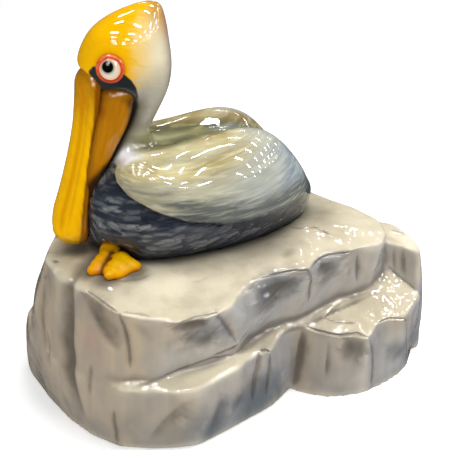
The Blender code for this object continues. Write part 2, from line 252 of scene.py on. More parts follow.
def paintLayers(tree, first, layers):
    # each layer is a colour and the factors of where it is sprayed over the last
    colour = addNode(tree, "RGB").outputs[0]
    colour.default_value = linear(first)
    for code, *factors in layers:
        inputs = {"Factor": times(tree, *factors), 6: colour, 7: linear(code)}
        colour = addNode(tree, "Mix", inputs, data_type="RGBA", clamp_factor=True).outputs[2]
    return colour


def brushed(tree, where, grain, reach=0.35):  # a sprayed edge that the brush has broken up
    moved = scaled(tree, scaled(tree, grain, 1.0, -0.5), reach, times(tree, where))
    return eased(tree, moved, 0.15, 0.85)


def strokes(tree, scale, turn=(0.0, 0.0, 0.0), detail=3.0, twist=0.3, low=0.3, high=0.7, place=None):
    # scale is the size of one stroke in metres along x, y and z, after the turn
    place = place or addNode(tree, "TexCoord").outputs["Object"]
    turned = addNode(tree, "Mapping", {"Vector": place, "Rotation": turn}).outputs[0]
    sized = addNode(tree, "Mapping", {"Vector": turned, "Scale": tuple(1 / s for s in scale)}).outputs[0]
    inputs = {"Vector": sized, "Scale": 1.0, "Detail": detail, "Distortion": twist}
    return eased(tree, addNode(tree, "TexNoise", inputs).outputs[0], low, high)


# How glossy the clear coat is. Under it the paint is dull.
coats = {
    "bird": {"paintRoughness": 0.45, "roughness": 0.022},
    "rock": {"paintRoughness": 0.55, "roughness": 0.025, "worn": 0.97},
    "feet": {"paintRoughness": 0.45, "roughness": 0.02, "weight": 0.3},
    "eye": {"paintRoughness": 0.3, "roughness": 0.02},
}
# Size and height of each kind of wave in the varnish, and how high the paint's own strokes stand.
bumps = {
    "bird": {
        "peel": (0.008, 0.000006), "wave": (0.09, 0.00015), "ripple": (0.03, 0.00001), "paint": 0.000006,
    },
    "bill": {"peel": (0.008, 0.00003), "wave": (0.04, 0.00012), "ripple": (0.02, 0.00002), "paint": 0.0002},
    "feet": {"peel": (0.006, 0.000004), "wave": (0.02, 0.00002), "ripple": (0.01, 0.0001), "paint": 0.00001},
    "rock": {"peel": (0.009, 0.00005), "wave": (0.026, 0.0003), "ripple": (0.03, 0.004), "paint": 0.0002},
    "eye": {"peel": (0.006, 0.00001), "wave": (0.028, 0.00005), "ripple": (0.02, 0.00001), "paint": 0.0},
}


def glossCoat(name, build, part, waved=None):
    # polyurethane clear coat over airbrushed acrylic: wet-looking, with a little orange peel
    coat, bump = coats[part], bumps[waved or part]
    material = bpy.data.materials.new(name)
    material.use_nodes = True
    tree = material.node_tree
    shader = tree.nodes["Principled BSDF"]
    colour, relief = build(tree)
    tree.links.new(colour, shader.inputs["Base Color"])
    for socket, value in {
        "Roughness": coat["paintRoughness"],
        "Specular IOR Level": 0.0,  # under the coat the paint has no shine of its own
        "Coat Weight": coat.get("weight", 1.0),
        "Coat Roughness": coat["roughness"],
        "Coat IOR": 1.5,
    }.items():
        shader.inputs[socket].default_value = value
    if "worn" in coat:  # a thinner coat on a level top
        level = addNode(tree, "MapRange", {0: attribute(tree, "up"), 1: 0.74, 2: 0.86}).outputs[0]
        thinned = scaled(tree, times(tree, "worn", level), -coat["worn"], 1.0)
        tree.links.new(thinned, shader.inputs["Coat Weight"])
    place = addNode(tree, "TexCoord").outputs["Object"]

    def waves(kind, roughness, under):
        size, height = bump[kind]
        inputs = {"Vector": place, "Scale": 1 / size, "Detail": 1.0, "Roughness": roughness}
        return scaled(tree, addNode(tree, "TexNoise", inputs).outputs[0], height, under)

    height = waves("wave", 0.3, waves("peel", 0.4, 0.0))
    if relief is not None:
        height = scaled(tree, relief, bump["paint"], height)
    rippled = waves("ripple", 0.4, height)  # the poured coat ripples more than the paint under it
    for socket, raised in (("Normal", height), ("Coat Normal", rippled)):
        bumped = addNode(tree, "Bump", {"Height": raised, "Strength": 1.0, "Distance": 1.0}).outputs[0]
        tree.links.new(bumped, shader.inputs[socket])
    return material


# The bird's skin: head, neck, trunk, wings and tail in one.

skin = {
    "nodes": ["head", "neck", "trunk", "tail", "wing_left", "wing_right"],
    "voxel": 0.0048, "swell": 0.0006,
    # rounds of smoothing: everywhere, where the wings meet the back, along the form, and on the body again
    "soften": 8, "softenBack": 46, "longCurves": 60, "bodyCurves": 90,
    "tufts": {
        "length": 0.052, "width": 0.017, "height": 0.0011, "spacing": 0.0165, "strand": 0.0032, "seed": 7,
    },
}


def insideOutline(points, outline):  # signed distance to a flat outline, above 0 inside
    points = np.asarray(points, float)
    corners = np.array(outline, float)
    nearest = np.full(len(points), 1e9)
    inside = np.zeros(len(points), bool)
    for a, b in zip(corners, np.roll(corners, -1, axis=0)):
        along = b - a
        share = np.clip(((points - a) @ along) / (along @ along), 0, 1)[:, None]
        nearest = np.minimum(nearest, np.linalg.norm(points - (a + share * along), axis=1))
        crosses = (a[1] > points[:, 1]) != (b[1] > points[:, 1])
        with np.errstate(divide="ignore", invalid="ignore"):
            at = a[0] + (points[:, 1] - a[1]) * along[0] / along[1]
        inside ^= crosses & (points[:, 0] < at)
    return np.where(inside, nearest, -nearest)


# The dark mask on the cheek, as (y, z) from the bird's zero.
maskOutline = [
    (0.077, 0.381), (0.069, 0.37), (0.066, 0.355), (0.072, 0.34), (0.083, 0.32), (0.1, 0.3),
    (0.122, 0.297), (0.136, 0.285), (0.144, 0.268), (0.15, 0.274), (0.154, 0.292), (0.154, 0.317),
    (0.149, 0.338), (0.14, 0.354), (0.128, 0.366), (0.102, 0.374),
]


def layTufts(points, normals, where, settings):
    # Overlapping feather tufts: each rises from its root to a ragged tip, then drops.
    random = np.random.default_rng(settings["seed"])
    tree = KDTree(len(points))
    for index, point in enumerate(points):
        tree.insert(point, index)
    tree.balance()
    chosen = np.flatnonzero(where > 0.05)
    random.shuffle(chosen)
    seeds, cells = [], set()
    for index in chosen:
        cell = tuple(np.floor(points[index] / settings["spacing"]).astype(int))
        if cell not in cells:
            cells.add(cell)
            seeds.append(index)
    height = np.zeros(len(points))
    tone = np.zeros(len(points))
    strand = mottle(points * np.array((1, 0.16, 1)), settings["strand"], 3.0)
    for index in seeds:
        centre, normal = points[index], normals[index]
        y = centre[1] - tip[1]
        rise = 0.45 * ramp(y, 0.1, 0.3) - 0.35 * (1 - ramp(y, 0.05, 0.12)) + random.normal(0, 0.16)
        flow = np.array((0.0, 1.0, rise))
        flow -= normal * (flow @ normal)
        flow /= np.linalg.norm(flow)
        across = np.cross(normal, flow)
        size = random.uniform(0.75, 1.25)
        length, width = settings["length"] * size, settings["width"] * size
        near = np.array([i for _, i, _ in tree.find_range(centre, length * 0.62)])
        offset = points[near] - centre
        a = (offset @ flow) / length + 0.5  # 0 at the root, 1 at the tip
        c = (offset @ across) / (width / 2)
        ragged = a + 0.16 * strand[near] + 0.1 * c * c
        shape = np.clip(1 - c * c * (0.7 + 2.2 * a * a), 0, 1)  # narrower towards the tip
        shape = shape * ramp(ragged, 0.02, 0.65) * fade(ragged, 0.86, 1.0)
        shape *= np.abs((points[near] - centre) @ normal) < 0.012
        strength = random.uniform(0.55, 1.0)
        height[near] = np.maximum(height[near], shape * strength)
        light = shape ** 1.3 * (0.85 + 0.35 * strand[near]) * random.choice((0.0, 0.08, 0.4, 0.7, 1.0))
        over = ramp(shape, 0.1, 0.8)
        tone[near] = tone[near] * (1 - over) + light * over
    return height * where, tone * where


def evenOut(mesh, points, edges, where, rounds):
    # smooths away small lumps, then gives back what the smoothing took from the whole form
    smooth = relax(points, edges, where, rounds)
    movePoints(mesh, smooth)
    lost = np.einsum("ij,ij->i", points - smooth, normalsOf(mesh))
    return push(mesh, smooth, relax(lost, edges, 0.6, rounds))


def fineParts(points):  # where the bird's skin needs a finer mesh: the belly's tufts and the face
    _, y, z = (points - tip).T
    belly = (z > -0.03) & (z < 0.19) & (y < 0.54) & ((z < 0.12) | (y < 0.12))
    face = (z > 0.22) & (y < 0.17) & (z < 0.41)
    return belly | face


def birdSkin():
    piece = skinOver("birdSkin", skin)
    mesh = piece.data
    wings, trunk = treeOf(["wing_left", "wing_right"]), treeOf(["trunk", "neck", "tail"])
    points, edges = pointsOf(mesh), edgesOf(mesh)
    crease = np.maximum(awayFrom(wings, points), awayFrom(trunk, points))
    soft = 0.25 + 0.75 * ramp(crease, 0.004, 0.02)
    points = relax(points, edges, 0.6 * soft, skin["soften"])
    # on the back the wings run into the mantle and shoulders with no edge
    back = ramp(points[:, 2] - tip[2], 0.15, 0.175) * fade(crease, 0.008, 0.034)
    points = relax(points, edges, 0.6 * back, skin["softenBack"])
    calm = 0.6 * ramp(crease, 0.005, 0.018) * fade(points[:, 2] - tip[2], 0.4, 0.44)
    body = calm * fade(points[:, 2] - tip[2], 0.2, 0.26)
    points = evenOut(mesh, points, edges, calm, skin["longCurves"])
    evenOut(mesh, points, edges, body, skin["bodyCurves"])

    refine(piece, fineParts)
    points, edges = pointsOf(mesh), edgesOf(mesh)
    points = relax(points, edges, 0.5, 2)
    movePoints(mesh, points)

    toWing, toTrunk = awayFrom(wings, points), awayFrom(trunk, points)
    toPouch, toBill = toNodes(points, "pouch"), toNodes(points, "bill_upper")
    toFeet = toNodes(points, "foot_left", "foot_right")
    x, y, z = (points - tip).T
    side = np.abs(x)
    normals = normalsOf(mesh)
    wing = ramp(toTrunk - toWing, -0.002, 0.004) * (z < 0.26) * fade(z, 0.225, 0.24)
    breastTop = 0.146 + (y - 0.061) * 0.95
    belly = fade(z - np.minimum(breastTop, 0.185), -0.012, 0.012) * (1 - wing)
    belly *= 1 - ramp(toWing, 0.0, 0.01) * ramp(z, 0.14, 0.17) * ramp(y, 0.15, 0.2)
    belly = np.maximum(belly, ramp(-normals[:, 2], 0.25, 0.5) * (z < 0.13) * ramp(y, 0.15, 0.19))
    belly *= fade(y + 0.9 * z, 0.5, 0.56)
    raised, tone = layTufts(points, normals, belly * ramp(toWing, 0.001, 0.007), skin["tufts"])
    points = push(mesh, points, raised * skin["tufts"]["height"])

    # head and neck: how far back the yellow reaches at each height, and the edge of the pouch
    yellowEnd = [0.15, 0.146, 0.143, 0.145, 0.16, 0.181, 0.199]
    beyond = y - np.interp(z, [0.338, 0.354, 0.389, 0.422, 0.45, 0.467, 0.478], yellowEnd)
    mask = ramp(insideOutline(np.stack([y, z], 1), maskOutline), -0.004, 0.003)
    chin = ramp(z, 0.12, 0.2) * fade(z, 0.3, 0.335) * ramp(y, 0.055, 0.075)
    eyes = [np.array(eyePlace(node).translation) for node in ("eye_left", "eye_right")]
    toEye = np.min([np.linalg.norm(points - middle, axis=1) for middle in eyes], axis=0)
    # painted highlight: a white patch where the neck meets the front of the wing
    glare = hump(y, 0.126, 0.024) * hump(z, 0.2, 0.013)
    keep(
        mesh,
        yellow=fade(beyond, -0.024, 0.026) * ramp(z, 0.322, 0.345),
        peach=fade(beyond, 0.005, 0.06) * ramp(z, 0.32, 0.4),
        neckLow=hump(z, 0.205, 0.035) * ramp(y, 0.12, 0.16) * (1 - wing),
        cream=ramp(z + 0.25 * (y - 0.16), 0.31, 0.42),
        mask=mask * ramp(side, 0.028, 0.036),
        # painted shade on the neck along the pouch: a narrow dark band at its edge, and a wider one beside it
        rim=fade(toPouch, 0.001, 0.006 + 0.008 * ramp(z, 0.15, 0.28)) * chin,
        rimGlow=fade(toPouch, 0.004, 0.034) * chin,
        crest=ramp(z + 0.5 * (y - 0.2), 0.405, 0.475) * ramp(y, 0.16, 0.215),
        # painted reflection: a mauve tint where the head faces backwards
        nape=ramp(normals[:, 1], 0.4, 0.9) * ramp(z, 0.22, 0.26),
        brow=fade(toBill, 0.002, 0.014) * ramp(z, 0.33, 0.35),
        glare=glare * ramp(side, 0.035, 0.05) * fade(side, 0.09, 0.11),
        # painted shade: a reddish-brown band on the head around the eye ring
        lid=hump(toEye, 0.0255, 0.0035),
    )

    # wings, back and belly
    spread = 0.02 * ramp(z, 0.15, 0.18)
    softWing = ramp(toTrunk - toWing, -0.002 - spread, 0.004 + spread) * fade(z, 0.225, 0.26)
    lowEdge = [0.179, 0.136, 0.098, 0.078, 0.065, 0.075]  # the wing's lower edge, then its blue and gold
    aboveEdge = z - np.interp(y, [0.108, 0.148, 0.212, 0.281, 0.374, 0.45], lowEdge)
    blueLine = np.interp(z, [0.093, 0.124, 0.166, 0.198], [0.246, 0.301, 0.346, 0.36])
    goldLine = np.interp(y, [0.138, 0.224, 0.297, 0.368], [0.188, 0.171, 0.177, 0.195])
    inward = ramp(-normals[:, 0] * np.sign(x), -0.05, 0.45) * ramp(y, 0.15, 0.2)
    gold = np.maximum(ramp(z, 0.185, 0.215), hump(z - goldLine, 0.0, 0.014))
    # painted shade in the crease where the wings meet the back
    valley = fade(np.maximum(toWing, toTrunk), 0.004, 0.034)
    keep(
        mesh,
        flow=z + 0.25 * (y - 0.08) - 0.75 * (y - 0.08) ** 2,
        wing=softWing,
        inward=inward * softWing * ramp(z, 0.12, 0.16),
        gold=softWing * gold * fade(y, 0.36, 0.42),
        blue=softWing * ramp(y - blueLine, -0.05, 0.09),
        deep=softWing * ramp(y, 0.4, 0.47) * fade(z, 0.17, 0.2),
        # painted shade: the wing darker towards its lower edge, and a dark band along that edge
        under=softWing * fade(aboveEdge, 0.0, 0.065) * (0.3 + 0.7 * ramp(y, 0.14, 0.24)),
        edge=softWing * fade(aboveEdge, -0.022, 0.006) * ramp(y, 0.16, 0.22),
        front=softWing * fade(y, 0.12, 0.22),
        belly=belly,
        tuft=tone * (0.85 + 0.15 * fade(y, 0.12, 0.34)),
        # painted shade: darker and bluer where the belly turns sideways and down
        skirt=belly * fade(normals[:, 2], -0.15, 0.25) * ramp(y, 0.12, 0.2),
        tail=ramp(y + 0.9 * z, 0.49, 0.55) * (1 - softWing) * (z < 0.2),
        mantle=(1 - softWing) * ramp(z, 0.14, 0.175) * ramp(y, 0.12, 0.17) * fade(z, 0.215, 0.25),
        shade=(1 - wing) * fade(toWing, 0.001, 0.018) * fade(z, 0.17, 0.2),
        valley=valley * ramp(z, 0.16, 0.18) * ramp(y, 0.12, 0.17),
        # painted shade at the bottom of the body, by the rock
        low=fade(z, -0.02, 0.03) * (1 - wing),
        footShade=fade(toFeet, 0.002, 0.03),
    )
    return piece


def birdPaint(tree):
    grain = strokes(tree, (0.02, 0.045, 0.01), turn=(0.3, 0, 0))
    down = strokes(tree, (0.01, 0.01, 0.06), turn=(-0.25, 0, 0), detail=3)
    cloud = strokes(tree, (0.07, 0.09, 0.05), detail=2)
    # along the wing, the strokes follow its feather lines
    parts = addNode(tree, "SeparateXYZ", {0: addNode(tree, "TexCoord").outputs["Object"]}).outputs
    flow = {"X": parts["X"], "Y": parts["Y"], "Z": attribute(tree, "flow")}
    along = addNode(tree, "CombineXYZ", flow).outputs[0]
    wide = strokes(tree, (0.06, 0.15, 0.022), detail=2, twist=0.4, low=0.38, high=0.62, place=along)
    long = strokes(tree, (0.04, 0.08, 0.013), detail=3, twist=0.6, low=0.38, high=0.66, place=along)
    thin = strokes(tree, (0.03, 0.05, 0.0065), detail=3, twist=0.5, low=0.45, high=0.72, place=along)
    layers = [
        ("#8c877c", down, 0.35),  # neck: warm grey, streaked downwards
        ("#c9c5bb", cloud, 0.3),
        ("#e2d5b4", "cream"),
        ("#f3e6c8", "cream", cloud, 0.6),
        # painted reflection: mauve where the head faces backwards
        ("#80727a", "nape", 0.65),
        ("#f0c96c", "peach", 0.95),
        ("#b4842f", "crest", 0.9),
        # the same painted reflection, on the crest
        ("#846a6c", "nape", "crest", 0.65),
        ("#f4b200", brushed(tree, "yellow", grain, 0.45)),
        ("#fcc404", "yellow", cloud, 0.5),
        ("#c98a10", "brow", 0.6),
        ("#94886e", "neckLow", 0.75),
        # painted shade on the neck beside the pouch
        ("#5a5038", "rimGlow", 0.8),
        ("#8f8d66", "mantle", 1.0),
        ("#ccc79c", "mantle", wide, 0.7),
        # painted shade around the eye ring
        ("#b0541a", "lid", 0.6),
        ("#b4af94", "wing"),
        ("#cfcab0", "wing", wide, 0.7),
        ("#9e9678", "front", 0.75),
        ("#95917a", "wing", long, 0.45),
        ("#b9a66e", "gold", 0.7),
        ("#8c7c48", "gold", long, 0.7),
        ("#dccf98", "gold", wide, 0.5),
        ("#e6daa6", "gold", thin, 0.6),
        ("#adb1a9", "blue", 0.75),
        ("#899090", "blue", wide, 0.6),
        ("#778796", "deep", 0.75),
        ("#cfd2cb", "blue", long, 0.35),
        # painted shade: the wing darker towards its lower edge
        ("#565c5b", brushed(tree, "under", long, 0.3), 0.85),
        ("#7d6834", "inward", 0.9),
        ("#cbbf94", "inward", wide, 0.55),
        ("#e6e1ca", "wing", thin, 0.3),
        # painted highlight where the neck meets the wing
        ("#ffffff", "glare", 1.1),
        # painted shade in the crease between wings and back, with lighter strokes in it
        ("#56553a", "valley", 0.85),
        ("#a39b68", "valley", thin, 0.8),
        # painted shade along the wing's lower edge
        ("#43494c", brushed(tree, "edge", long, 0.4), 0.8),
        ("#20242d", brushed(tree, "belly", grain, 0.5)),
        ("#3c4450", cloud, "belly", 0.4),
        ("#8b8d8c", "tuft", "belly", 1.15),
        ("#2a3038", "belly", cloud, grain, 0.5),
        ("#6c7478", "tail", 0.9),
        ("#9aa09e", "tail", long, 0.6),
        # painted shade where the belly turns sideways and down
        ("#142044", "skirt", 0.35),
        ("#10131a", "shade", 0.8),
        # painted shade at the bottom of the body, by the rock
        ("#15181e", "low", 0.5),
        ("#2a1d14", "footShade", 0.6),
        # painted shade along the pouch's edge
        ("#241a12", "rim", 0.95),
        ("#23272a", brushed(tree, "mask", grain, 0.12)),
        ("#343736", "mask", cloud, 0.5),
    ]
    return paintLayers(tree, "#a19c8c", layers), times(tree, long, "wing")


# Bill and pouch.

bill = {
    "nodes": ["bill_upper"], "voxel": 0.0021, "swell": 0.0008, "soften": 14,
    "tipCurl": 0.016, "tipPinch": 0.12,
    # how deep the lines are, and how high the nail at the tip stands
    "groove": 0.0016, "second": 0.0006, "mouth": 0.0022, "nail": 0.0016,
    # the line between upper side and edge, and half the width, at each height
    "heights": [0, 0.03, 0.07, 0.12, 0.18, 0.25, 0.32, 0.366],
    "middle": [0.03, 0.028, 0.03, 0.039, 0.052, 0.067, 0.077, 0.083],
    "half": [0.02, 0.049, 0.054, 0.051, 0.047, 0.045, 0.045, 0.024],
}


def upperBill():
    piece = skinOver("upperBill", bill)
    mesh = piece.data
    points = relax(pointsOf(mesh), edgesOf(mesh), 0.6, bill["soften"])
    low = fade(points[:, 2] - tip[2], 0.0, 0.05)
    outwards = np.clip(np.abs(points[:, 0] - tip[0]) / 0.048, 0, 1)
    points[:, 2] += bill["tipCurl"] * low * outwards**2.5  # rounder at the tip
    points[:, 0] += (tip[0] - points[:, 0]) * bill["tipPinch"] * low
    movePoints(mesh, points)
    x, y, z = (points - tip).T
    centreY = np.interp(z, bill["heights"], bill["middle"])
    across = np.abs(x) / np.interp(z, bill["heights"], bill["half"])
    front = y < centreY
    groove = hump(across, 0.52, 0.1) * front * ramp(z, 0.03, 0.07) * fade(z, 0.33, 0.36)
    second = hump(across, 0.8, 0.06) * front * ramp(z, 0.05, 0.1) * fade(z, 0.3, 0.35)
    lip = hump(y - centreY, 0.004, 0.004) * ramp(across, 0.7, 0.9) * ramp(z, 0.03, 0.06)
    nail = ramp(0.028 - np.hypot(x * 1.3, z - 0.018), 0, 0.008) * front
    moved = bill["nail"] * nail - bill["groove"] * groove - bill["second"] * second - bill["mouth"] * lip
    push(mesh, points, moved)
    keep(
        mesh,
        groove=groove,
        second=second,
        lip=fade(centreY - y, -0.004, 0.01) * ramp(across, 0.6, 0.9),
        base=ramp(z, 0.22, 0.36),
        nail=nail,
        # painted shade at the bottom of the bill, where its tip rests on the rock
        low=fade(z, 0.004, 0.05),
        back=ramp(y - centreY, 0.006, 0.014),
    )
    return piece


def billPaint(tree):
    streak = strokes(tree, (0.007, 0.007, 0.13), turn=(-0.2, 0, 0), detail=3, twist=0.2)
    wide = strokes(tree, (0.02, 0.02, 0.2), turn=(-0.2, 0, 0), detail=2, twist=0.2)
    layers = [
        ("#fcc400", wide, 0.6),
        ("#de8c00", streak, 0.2),
        ("#b8790c", "base", 0.85),
        ("#9c5f0a", "base", streak, 0.4),
        ("#cf7c00", "groove", 0.55),
        ("#cf8404", "second", 0.35),
        ("#93500a", brushed(tree, "lip", streak, 0.3), 0.85),
        # painted shade at the bottom of the bill
        ("#8c6a0c", brushed(tree, "low", wide, 0.4), 0.6),
        ("#c26a10", "nail", 0.4),
        ("#80430c", "back", 0.8),
    ]
    return paintLayers(tree, "#fcbc02", layers), streak


pouch = {
    "nodes": ["pouch"], "voxel": 0.0023, "swell": 0.0012, "soften": 22,
    "pleatDepth": 0.0007, "pleatWidth": 0.007,
}


def pouchSkin():
    piece = skinOver("pouchSkin", pouch)
    mesh = piece.data
    points = relax(pointsOf(mesh), edgesOf(mesh), 0.6, pouch["soften"])
    movePoints(mesh, points)
    _, y, z = (points - tip).T
    pleat = mottle(points * np.array((1, 1, 0.06)), pouch["pleatWidth"], 9.0)
    points = push(mesh, points, pouch["pleatDepth"] * pleat)
    keep(
        mesh,
        # painted shade where the pouch meets the upper bill, and darker where it meets the neck and head
        mouth=fade(toNodes(points, "bill_upper"), 0.001, 0.016),
        rear=fade(toNodes(points, "neck", "head", "trunk"), 0.001, 0.018) * fade(z, 0.3, 0.33),
        top=ramp(z, 0.2, 0.34),
        arch=ramp(z, 0.322, 0.334),
        low=fade(z, 0.1, 0.24),
        gape=hump(y, 0.078, 0.01) * hump(z, 0.3, 0.016),
    )
    return piece


def pouchPaint(tree):
    streak = strokes(tree, (0.006, 0.007, 0.09), turn=(0.25, 0, 0), detail=3, twist=0.3)
    wide = strokes(tree, (0.02, 0.022, 0.12), turn=(0.25, 0, 0), detail=2, twist=0.3)
    layers = [
        ("#c88408", wide, 0.6),
        ("#a0640c", "top", 0.65),
        ("#8a5508", streak, 0.3),
        ("#d28a06", "low", 0.8),
        # painted shade along the upper bill and along the neck
        ("#75400a", "mouth", 0.75),
        ("#2a180b", "rear", 0.95),
        ("#7a4510", "arch", 0.6),
        ("#6a1f0a", "gape", 0.8),
    ]
    return paintLayers(tree, "#c07e06", layers), None


# Eyes.

eye = {
    "ball": 0.0212, "bulge": 0.0105, "ring": 0.0236, "bead": 0.0034,
    # the pupil's middle from the eye's middle, and the painted catchlight's from the pupil's
    "ahead": 0.0032, "above": 0.006, "glint": 0.0058,
    # where each painted edge starts and ends, from the middle of the eye, the pupil or the painted catchlight
    "blush": (0.0125, 0.019), "shade": (0.016, 0.01), "redEdge": (0.0188, 0.0205),
    "pupilEdge": (0.0112, 0.0098), "glintEdge": (0.0042, 0.0016),
}


def eyePlace(node):  # the middle of the CAD eye and the way it faces
    points = pointsOf(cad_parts[node].data)
    centre = (points.max(0) + points.min(0)) / 2
    spread = np.linalg.eigh(np.cov((points - centre).T))[1][:, 0]
    if spread[0] * (centre[0] - tip[0]) < 0:
        spread = -spread
    turn = Vector(spread).to_track_quat("Z", "Y").to_matrix().to_4x4()
    return Matrix.Translation(centre) @ turn


def eyeBall(name, node):
    place = eyePlace(node)
    bm = bmesh.new()
    bmesh.ops.create_uvsphere(bm, u_segments=64, v_segments=32, radius=eye["ball"])
    bmesh.ops.transform(bm, matrix=Matrix.Diagonal((1, 1, eye["bulge"] / eye["ball"], 1)), verts=bm.verts)
    flat = np.array([vert.co[:] for vert in bm.verts])
    bmesh.ops.transform(bm, matrix=place, verts=bm.verts)
    piece = objectOf(name, bm)
    piece.data.shade_smooth()
    local = place.to_3x3().inverted()
    ahead, above = local @ Vector((0, -1, 0)), local @ Vector((0, 0, 1))
    pupil = ahead.xy.normalized() * eye["ahead"] + above.xy.normalized() * eye["above"]
    off = flat[:, :2] - np.array(pupil)
    # a highlight painted at the top of the pupil
    glint = off - np.array(above.xy.normalized()) * eye["glint"]
    keep(
        piece.data,
        fromPupil=np.linalg.norm(off, axis=1),
        fromGlint=np.linalg.norm(glint, axis=1),
        fromMiddle=np.hypot(flat[:, 0], flat[:, 1]),
    )
    return piece


def eyeRing(name, node):
    bm = bmesh.new()
    upright = Matrix.Translation((eye["ring"], 0, 0)) @ Matrix.Rotation(math.pi / 2, 4, "X")
    made = bmesh.ops.create_circle(bm, segments=16, radius=eye["bead"], matrix=upright)
    bead = made["verts"] + bm.edges[:]
    bmesh.ops.spin(bm, geom=bead, cent=(0, 0, 0), axis=(0, 0, 1), angle=math.tau, steps=72, use_merge=True)
    bmesh.ops.remove_doubles(bm, verts=bm.verts, dist=0.00001)
    bmesh.ops.recalc_face_normals(bm, faces=bm.faces)
    bmesh.ops.transform(bm, matrix=eyePlace(node), verts=bm.verts)
    piece = objectOf(name, bm)
    piece.data.shade_smooth()
    heights = pointsOf(piece.data)[:, 2]
    # painted shade: the ring darker towards its lower side
    keep(piece.data, low=fade((heights - heights.min()) / np.ptp(heights), 0.0, 0.7))
    return piece


def irisPaint(tree):
    middle, pupil, glint = (attribute(tree, name) for name in ("fromMiddle", "fromPupil", "fromGlint"))
    ray = strokes(tree, (0.003, 0.003, 0.003), detail=3)
    layers = [
        ("#f2e6d0", ray, 0.3),
        ("#efb794", eased(tree, middle, *eye["blush"]), 0.85),
        ("#5e5040", eased(tree, pupil, *eye["shade"]), 0.65),
        ("#d8552a", eased(tree, middle, *eye["redEdge"])),
        ("#050506", eased(tree, pupil, *eye["pupilEdge"])),
        # painted highlight at the top of the pupil
        ("#a7a49a", eased(tree, glint, *eye["glintEdge"]), 0.75),
    ]
    return paintLayers(tree, "#e0d5be", layers), None


def ringPaint(tree):
    patch = strokes(tree, (0.01, 0.01, 0.01), detail=2)
    layers = [
        ("#f0875e", patch, 0.7),
        # painted shade on the ring's lower side
        ("#a83c1a", "low", 0.8),
    ]
    return paintLayers(tree, "#de4c20", layers), None


# Feet.

foot = {
    "voxel": 0.0016, "soften": 26, "dents": 0.0005, "dentWidth": 0.007, "foldDepth": 0.0006,
    # the lumps of one foot: x, y and z of the middle from the bird's zero, then the reach along x, y and z
    "lumps": [
        (0.06, 0.08, -0.004, 0.022, 0.022, 0.024),  # heel, under the breast
        (0.076, 0.066, -0.006, 0.0175, 0.0165, 0.019),  # inner toe
        (0.087, 0.053, -0.008, 0.0165, 0.0155, 0.0175),
        (0.097, 0.041, -0.01, 0.015, 0.0145, 0.015),
        (0.106, 0.029, -0.012, 0.012, 0.012, 0.012),
        (0.097, 0.092, -0.008, 0.022, 0.02, 0.018),  # outer toes and their web
        (0.112, 0.079, -0.01, 0.02, 0.019, 0.016),
        (0.125, 0.066, -0.012, 0.016, 0.016, 0.0135),
        (0.134, 0.055, -0.013, 0.012, 0.012, 0.011),
        (0.112, 0.101, -0.011, 0.019, 0.018, 0.0145),
        (0.121, 0.111, -0.013, 0.014, 0.015, 0.011),
        (0.124, 0.089, -0.013, 0.017, 0.018, 0.013),
        (0.131, 0.074, -0.015, 0.015, 0.019, 0.011),
        (0.101, 0.058, -0.015, 0.024, 0.024, 0.012),  # thin skin in the fold
    ],
}


def footSkin(name, node):
    side = 1 if node == "foot_left" else -1
    whole = bmesh.new()
    for x, y, z, *reach in foot["lumps"]:
        made = bmesh.ops.create_icosphere(whole, subdivisions=3, radius=1.0)["verts"]
        middle = Vector((tip[0] + side * x, tip[1] + y, tip[2] + z))
        stretched = Matrix.Translation(middle) @ Matrix.Diagonal((*reach, 1))
        bmesh.ops.transform(whole, matrix=stretched, verts=made)
    piece = melt(objectOf(name, whole), foot["voxel"])
    mesh = piece.data
    points, edges = pointsOf(mesh), edgesOf(mesh)
    points = relax(points, edges, 0.6, foot["soften"])
    movePoints(mesh, points)
    fold = np.einsum("ij,ij->i", relax(points, edges, 0.7, 25) - points, normalsOf(mesh))
    fold = ramp(fold, 0.0001, 0.0013)
    moved = foot["dents"] * mottle(points, foot["dentWidth"], 2.0) - foot["foldDepth"] * fold
    points = push(mesh, points, moved)
    x, y = side * (points[:, 0] - tip[0]), points[:, 1] - tip[1]
    beyond = (y - 0.06) + 0.95 * (x - 0.094) - 0.006  # past the crease between the inner toe and the web
    keep(
        mesh,
        # painted shade in the folds between the lumps, which are also carved a little deeper
        fold=fold,
        split=hump(beyond, 0.0, 0.006) * ramp(x, 0.07, 0.085),
        inner=fade(beyond, -0.006, 0.004),
        up=relax(normalsOf(mesh)[:, 2], edges, 0.6, 3),
    )
    return piece


def footPaint(tree):
    grain = strokes(tree, (0.007, 0.007, 0.007), detail=3)
    top = eased(tree, attribute(tree, "up"), 0.2, 0.9)
    lowSide = eased(tree, attribute(tree, "up"), 0.25, -0.4)
    layers = [
        ("#ffc400", top, 0.9),
        ("#ef9402", grain, 0.35),
        ("#d67404", lowSide, 0.7),
        ("#e88a04", "inner", 0.35),
        # painted shade in the folds
        ("#8a320a", brushed(tree, "fold", grain, 0.4), 0.9),
        ("#5a1c06", "split", 0.95),
    ]
    return paintLayers(tree, "#f7a800", layers), grain


# The rock.

rock = {
    "nodes": ["rock_base", "rock_summit", "rock_side_step", "rock_rear_step"],
    "voxel": 0.0056, "swell": 0.0008, "soften": 6, "fuller": 0.013,
    # height and width of the broad waves, the dents and the upright flutes of the walls
    "broad": (0.003, 0.1), "dents": (0.001, 0.035), "flutes": (0.003, 0.06),
    # rounds of smoothing where the scoops are cut and on the tops
    "softenScoops": 30, "softenTops": 40,
    # how near to a crack the mesh is halved once, and then once more
    "fineReach": (0.012, 0.006),
}

# The line where each scoop starts, and how steeply it slopes out and down, in degrees.
scoops = {
    "z": 0.327, "slope": 58,
    "y": [
        -0.175, -0.139, -0.105, -0.083, -0.063, -0.029, 0.005, 0.05, 0.066, 0.092, 0.132, 0.165, 0.191, 0.21,
    ],
    "x": [
        0.33, 0.29, 0.26, 0.245, 0.239, 0.237, 0.237, 0.244, 0.252, 0.222, 0.208, 0.21, 0.224, 0.25,
    ],
}
